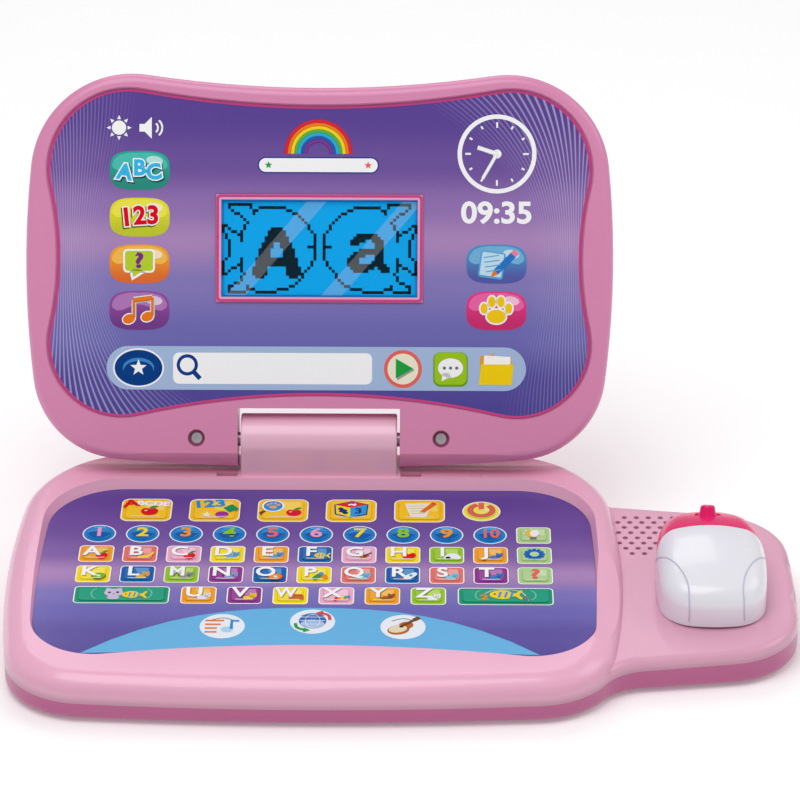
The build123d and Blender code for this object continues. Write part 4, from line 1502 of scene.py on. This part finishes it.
def grip_line(name, route):
    """A thin moulded line that lies on the mouse and follows its crown. Its lilac grey is painted shade of
    the groove.
    """
    curve = drawn([point[:2] for point in route], False, True)
    curve.dimensions = "3D"
    for knot, point in zip(curve.splines[0].bezier_points, route):
        knot.co = point
    bpy.ops.object.convert(target="MESH")
    line = bpy.context.object
    line.matrix_world = DECK
    bpy.ops.object.transform_apply()
    wrap = line.modifiers.new("lie", "SHRINKWRAP")
    wrap.target = NODES["mouse_shell"]
    wrap.wrap_method = "NEAREST_SURFACEPOINT"
    bpy.ops.object.modifier_apply(modifier=wrap.name)
    bpy.ops.object.convert(target="CURVE")
    line = bpy.context.object
    line.data.bevel_depth = 0.00035
    line.data.bevel_resolution = 2
    line.data.use_fill_caps = True
    bpy.ops.object.convert(target="MESH")
    line = bpy.context.object
    line.data.materials.clear()
    # Painted shade: the grey of the line stands for the shade in the groove.
    line.data.materials.append(plastic("groove_painted_shade", rgb(205, 202, 218), 0.4, bump=0))
    line.name = line.data.name = name
    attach(line, "mouse")


class MAKE_OT_shells(bpy.types.Operator):
    """Give the moulded shells, the hinge block and the mouse their plastics."""

    bl_idname = "laptop.shells"
    bl_label = "Shells"

    def execute(self, context):
        tone = colours()

        # Painted shade: the deck shell's walls darken towards the seam at the bottom.
        def deck_painted_shade(tree):
            wall = [
                (-10.5, tuple(v * 0.6 for v in tone.deck_pink)),
                (-6.5, tuple(v * 0.84 for v in tone.deck_pink)), (-1.5, tuple(tone.deck_pink)),
            ]
            return ramp(tree, on_surface(tree, DECK)["Z"], -12, 4, wall)

        set_finish(
            "base_top_shell", plastic("deck_pink_plastic", tone.deck_pink, 0.26, coat=0.3, source=deck_painted_shade)
        )
        set_finish(
            "hinge_cover", plastic("hinge_pink_plastic", paler_tone(tone.deck_pink, 0.12), 0.26, coat=0.3)
        )
        lid = plastic("lid_pink_plastic", tone.lid_pink, 0.26, coat=0.35)
        set_finish("lid_bezel", lid)
        set_finish("lid_back_shell", lid)
        belly = plastic("belly_pink_plastic", tone.belly_pink, 0.32, coat=0.2)
        set_finish("base_bottom_shell", belly)
        set_finish("battery_door", belly)
        set_finish("mouse_shell", plastic("mouse_white_plastic", tone.mouse_white, 0.24, coat=0.4))
        set_finish(
            "mouse_button", plastic("mouse_pink_plastic", tone.button_pink, 0.24, coat=0.12, specular=0.25)
        )
        left = (
            (137.2, -26.5, 4), (139.2, -33.5, 10), (143.2, -40, 14), (147.6, -48.4, 15), (150.2, -56, 12),
            (150.8, -61, 5), (151, -61, -3),
        )
        right = (
            (185.4, -26.5, 4), (183.4, -33.5, 10), (179.4, -40, 14), (175, -48.4, 15), (172.8, -56.5, 12),
            (173, -61, 5), (173.4, -61, -3),
        )
        for side, route in (("left", left), ("right", right)):
            grip_line("mouse_grip_line_" + side, route)
        return {"FINISHED"}


class MAKE_OT_hardware(bpy.types.Operator):
    """Give screws, pins, feet and the parts inside their finishes."""

    bl_idname = "laptop.hardware"
    bl_label = "Hardware and inner parts"

    def execute(self, context):
        steel = plastic("screw_steel", rgb(150, 150, 155), 0.35, grain=2500, metallic=1.0, bump=0.08)
        for node in ("case_screws", "lid_screws", "hinge_pins"):
            set_finish(node, steel)
        set_finish(
            "battery_contacts", plastic("spring_steel", rgb(190, 190, 188), 0.3, grain=3000, metallic=1.0)
        )
        set_finish("rubber_feet", plastic("foot_rubber", rgb(70, 66, 72), 0.8, bump=0.25))
        set_finish("switch_membrane", plastic("grey_rubber", rgb(150, 150, 155), 0.75, bump=0.2))
        set_finish("main_board", plastic("board_green", rgb(30, 105, 60), 0.45, coat=0.3, unevenness=0.25))
        set_finish("display_board", plastic("board_green", rgb(30, 105, 60)))
        set_finish("battery_cells", plastic("cell_jacket", rgb(60, 70, 90), 0.3, coat=0.3))
        set_finish("speaker", plastic("speaker_steel", rgb(90, 90, 95), 0.45, metallic=0.8))
        inner = plastic("inner_grey_plastic", rgb(205, 190, 200), 0.5)
        set_finish("keyboard_plate", inner)
        set_finish("mouse_slider", inner)
        return {"FINISHED"}


def soft_light(name, spot, target, size, power, colour=(1, 1, 1)):
    deselect()
    bpy.ops.object.light_add(type="AREA", location=spot)
    lamp = bpy.context.object
    lamp.name = name
    lamp.rotation_euler = (Vector(target) - Vector(spot)).to_track_quat("-Z", "Y").to_euler()
    lamp.data.size = size
    lamp.data.energy = power
    lamp.data.color = colour


class MAKE_OT_studio(bpy.types.Operator):
    """Set up the pale floor, the soft lights and the camera."""

    bl_idname = "laptop.studio"
    bl_label = "Studio"

    def execute(self, context):
        scene = context.scene
        deselect()
        bpy.ops.mesh.primitive_plane_add(size=30, location=(0, 0, 0))
        floor = context.object
        floor.name = "studio_floor"
        floor.data.materials.append(
            plastic("floor_white", (0.97, 0.97, 0.97), 0.9, unevenness=0.01, bump=0, glow=0.16)
        )
        world = scene.world or bpy.data.worlds.new("studio_world")
        scene.world = world
        world.use_nodes = True
        world.node_tree.nodes["Background"].inputs["Color"].default_value = (1, 1, 1, 1)
        world.node_tree.nodes["Background"].inputs["Strength"].default_value = 0.42
        power = sizes().light_strength
        soft_light("main_light", (-0.35, -0.6, 1.8), (0, 0, 0.05), 1.3, power)
        soft_light("side_light", (1.3, 0.1, 1.1), (0, 0, 0.05), 0.9, power * 0.25)
        soft_light("back_light", (-0.2, 1.2, 1.5), (0, 0, 0.1), 1.0, power * 0.35)
        scene.view_settings.view_transform = "Standard"

        pitch, yaw = CAMERA_PITCH, CAMERA_YAW
        ahead = Vector((sin(yaw) * cos(pitch), cos(yaw) * cos(pitch), -sin(pitch)))
        right = Vector((cos(yaw), -sin(yaw), 0))
        up = right.cross(ahead)
        turn = Matrix((right, up, -ahead)).transposed()
        deselect()
        bpy.ops.object.camera_add()
        camera = context.object
        camera.name = "studio_camera"
        camera.matrix_world = Matrix.Translation(DECK @ CAMERA_SPOT) @ (
            Matrix.Rotation(WEDGE, 3, "X") @ turn
        ).to_4x4()
        camera.data.lens = sizes().focal_length
        camera.data.sensor_width = 36
        camera.data.clip_end = 50
        scene.camera = camera
        return {"FINISHED"}


STEPS = (
    MAKE_OT_studio, MAKE_OT_shells, MAKE_OT_hardware, MAKE_OT_deck_print, MAKE_OT_letter_keys,
    MAKE_OT_number_keys,
    MAKE_OT_mode_keys, MAKE_OT_other_keys, MAKE_OT_lid_print, MAKE_OT_lid_buttons, MAKE_OT_display,
)


class LAPTOP_PT_parts(bpy.types.Panel):
    """Lists the steps that make the toy laptop."""

    bl_label = "Toy laptop"
    bl_idname = "LAPTOP_PT_parts"
    bl_space_type = "VIEW_3D"
    bl_region_type = "UI"
    bl_category = "Toy laptop"

    def draw(self, context):
        for group in (context.scene.laptop_colours, context.scene.laptop_sizes):
            for name in group.__annotations__:
                self.layout.prop(group, name)
        for step in STEPS:
            self.layout.operator(step.bl_idname)


def register():
    for made in (LaptopColours, LaptopSizes, *STEPS, LAPTOP_PT_parts):
        bpy.utils.register_class(made)
    bpy.types.Scene.laptop_colours = PointerProperty(type=LaptopColours)
    bpy.types.Scene.laptop_sizes = PointerProperty(type=LaptopSizes)


def unregister():
    del bpy.types.Scene.laptop_sizes
    del bpy.types.Scene.laptop_colours
    for made in reversed((LaptopColours, LaptopSizes, *STEPS, LAPTOP_PT_parts)):
        bpy.utils.unregister_class(made)


def main():
    register()
    for step in STEPS:
        group, name = step.bl_idname.split(".")
        getattr(getattr(bpy.ops, group), name)()


if __name__ == "__main__":
    main()
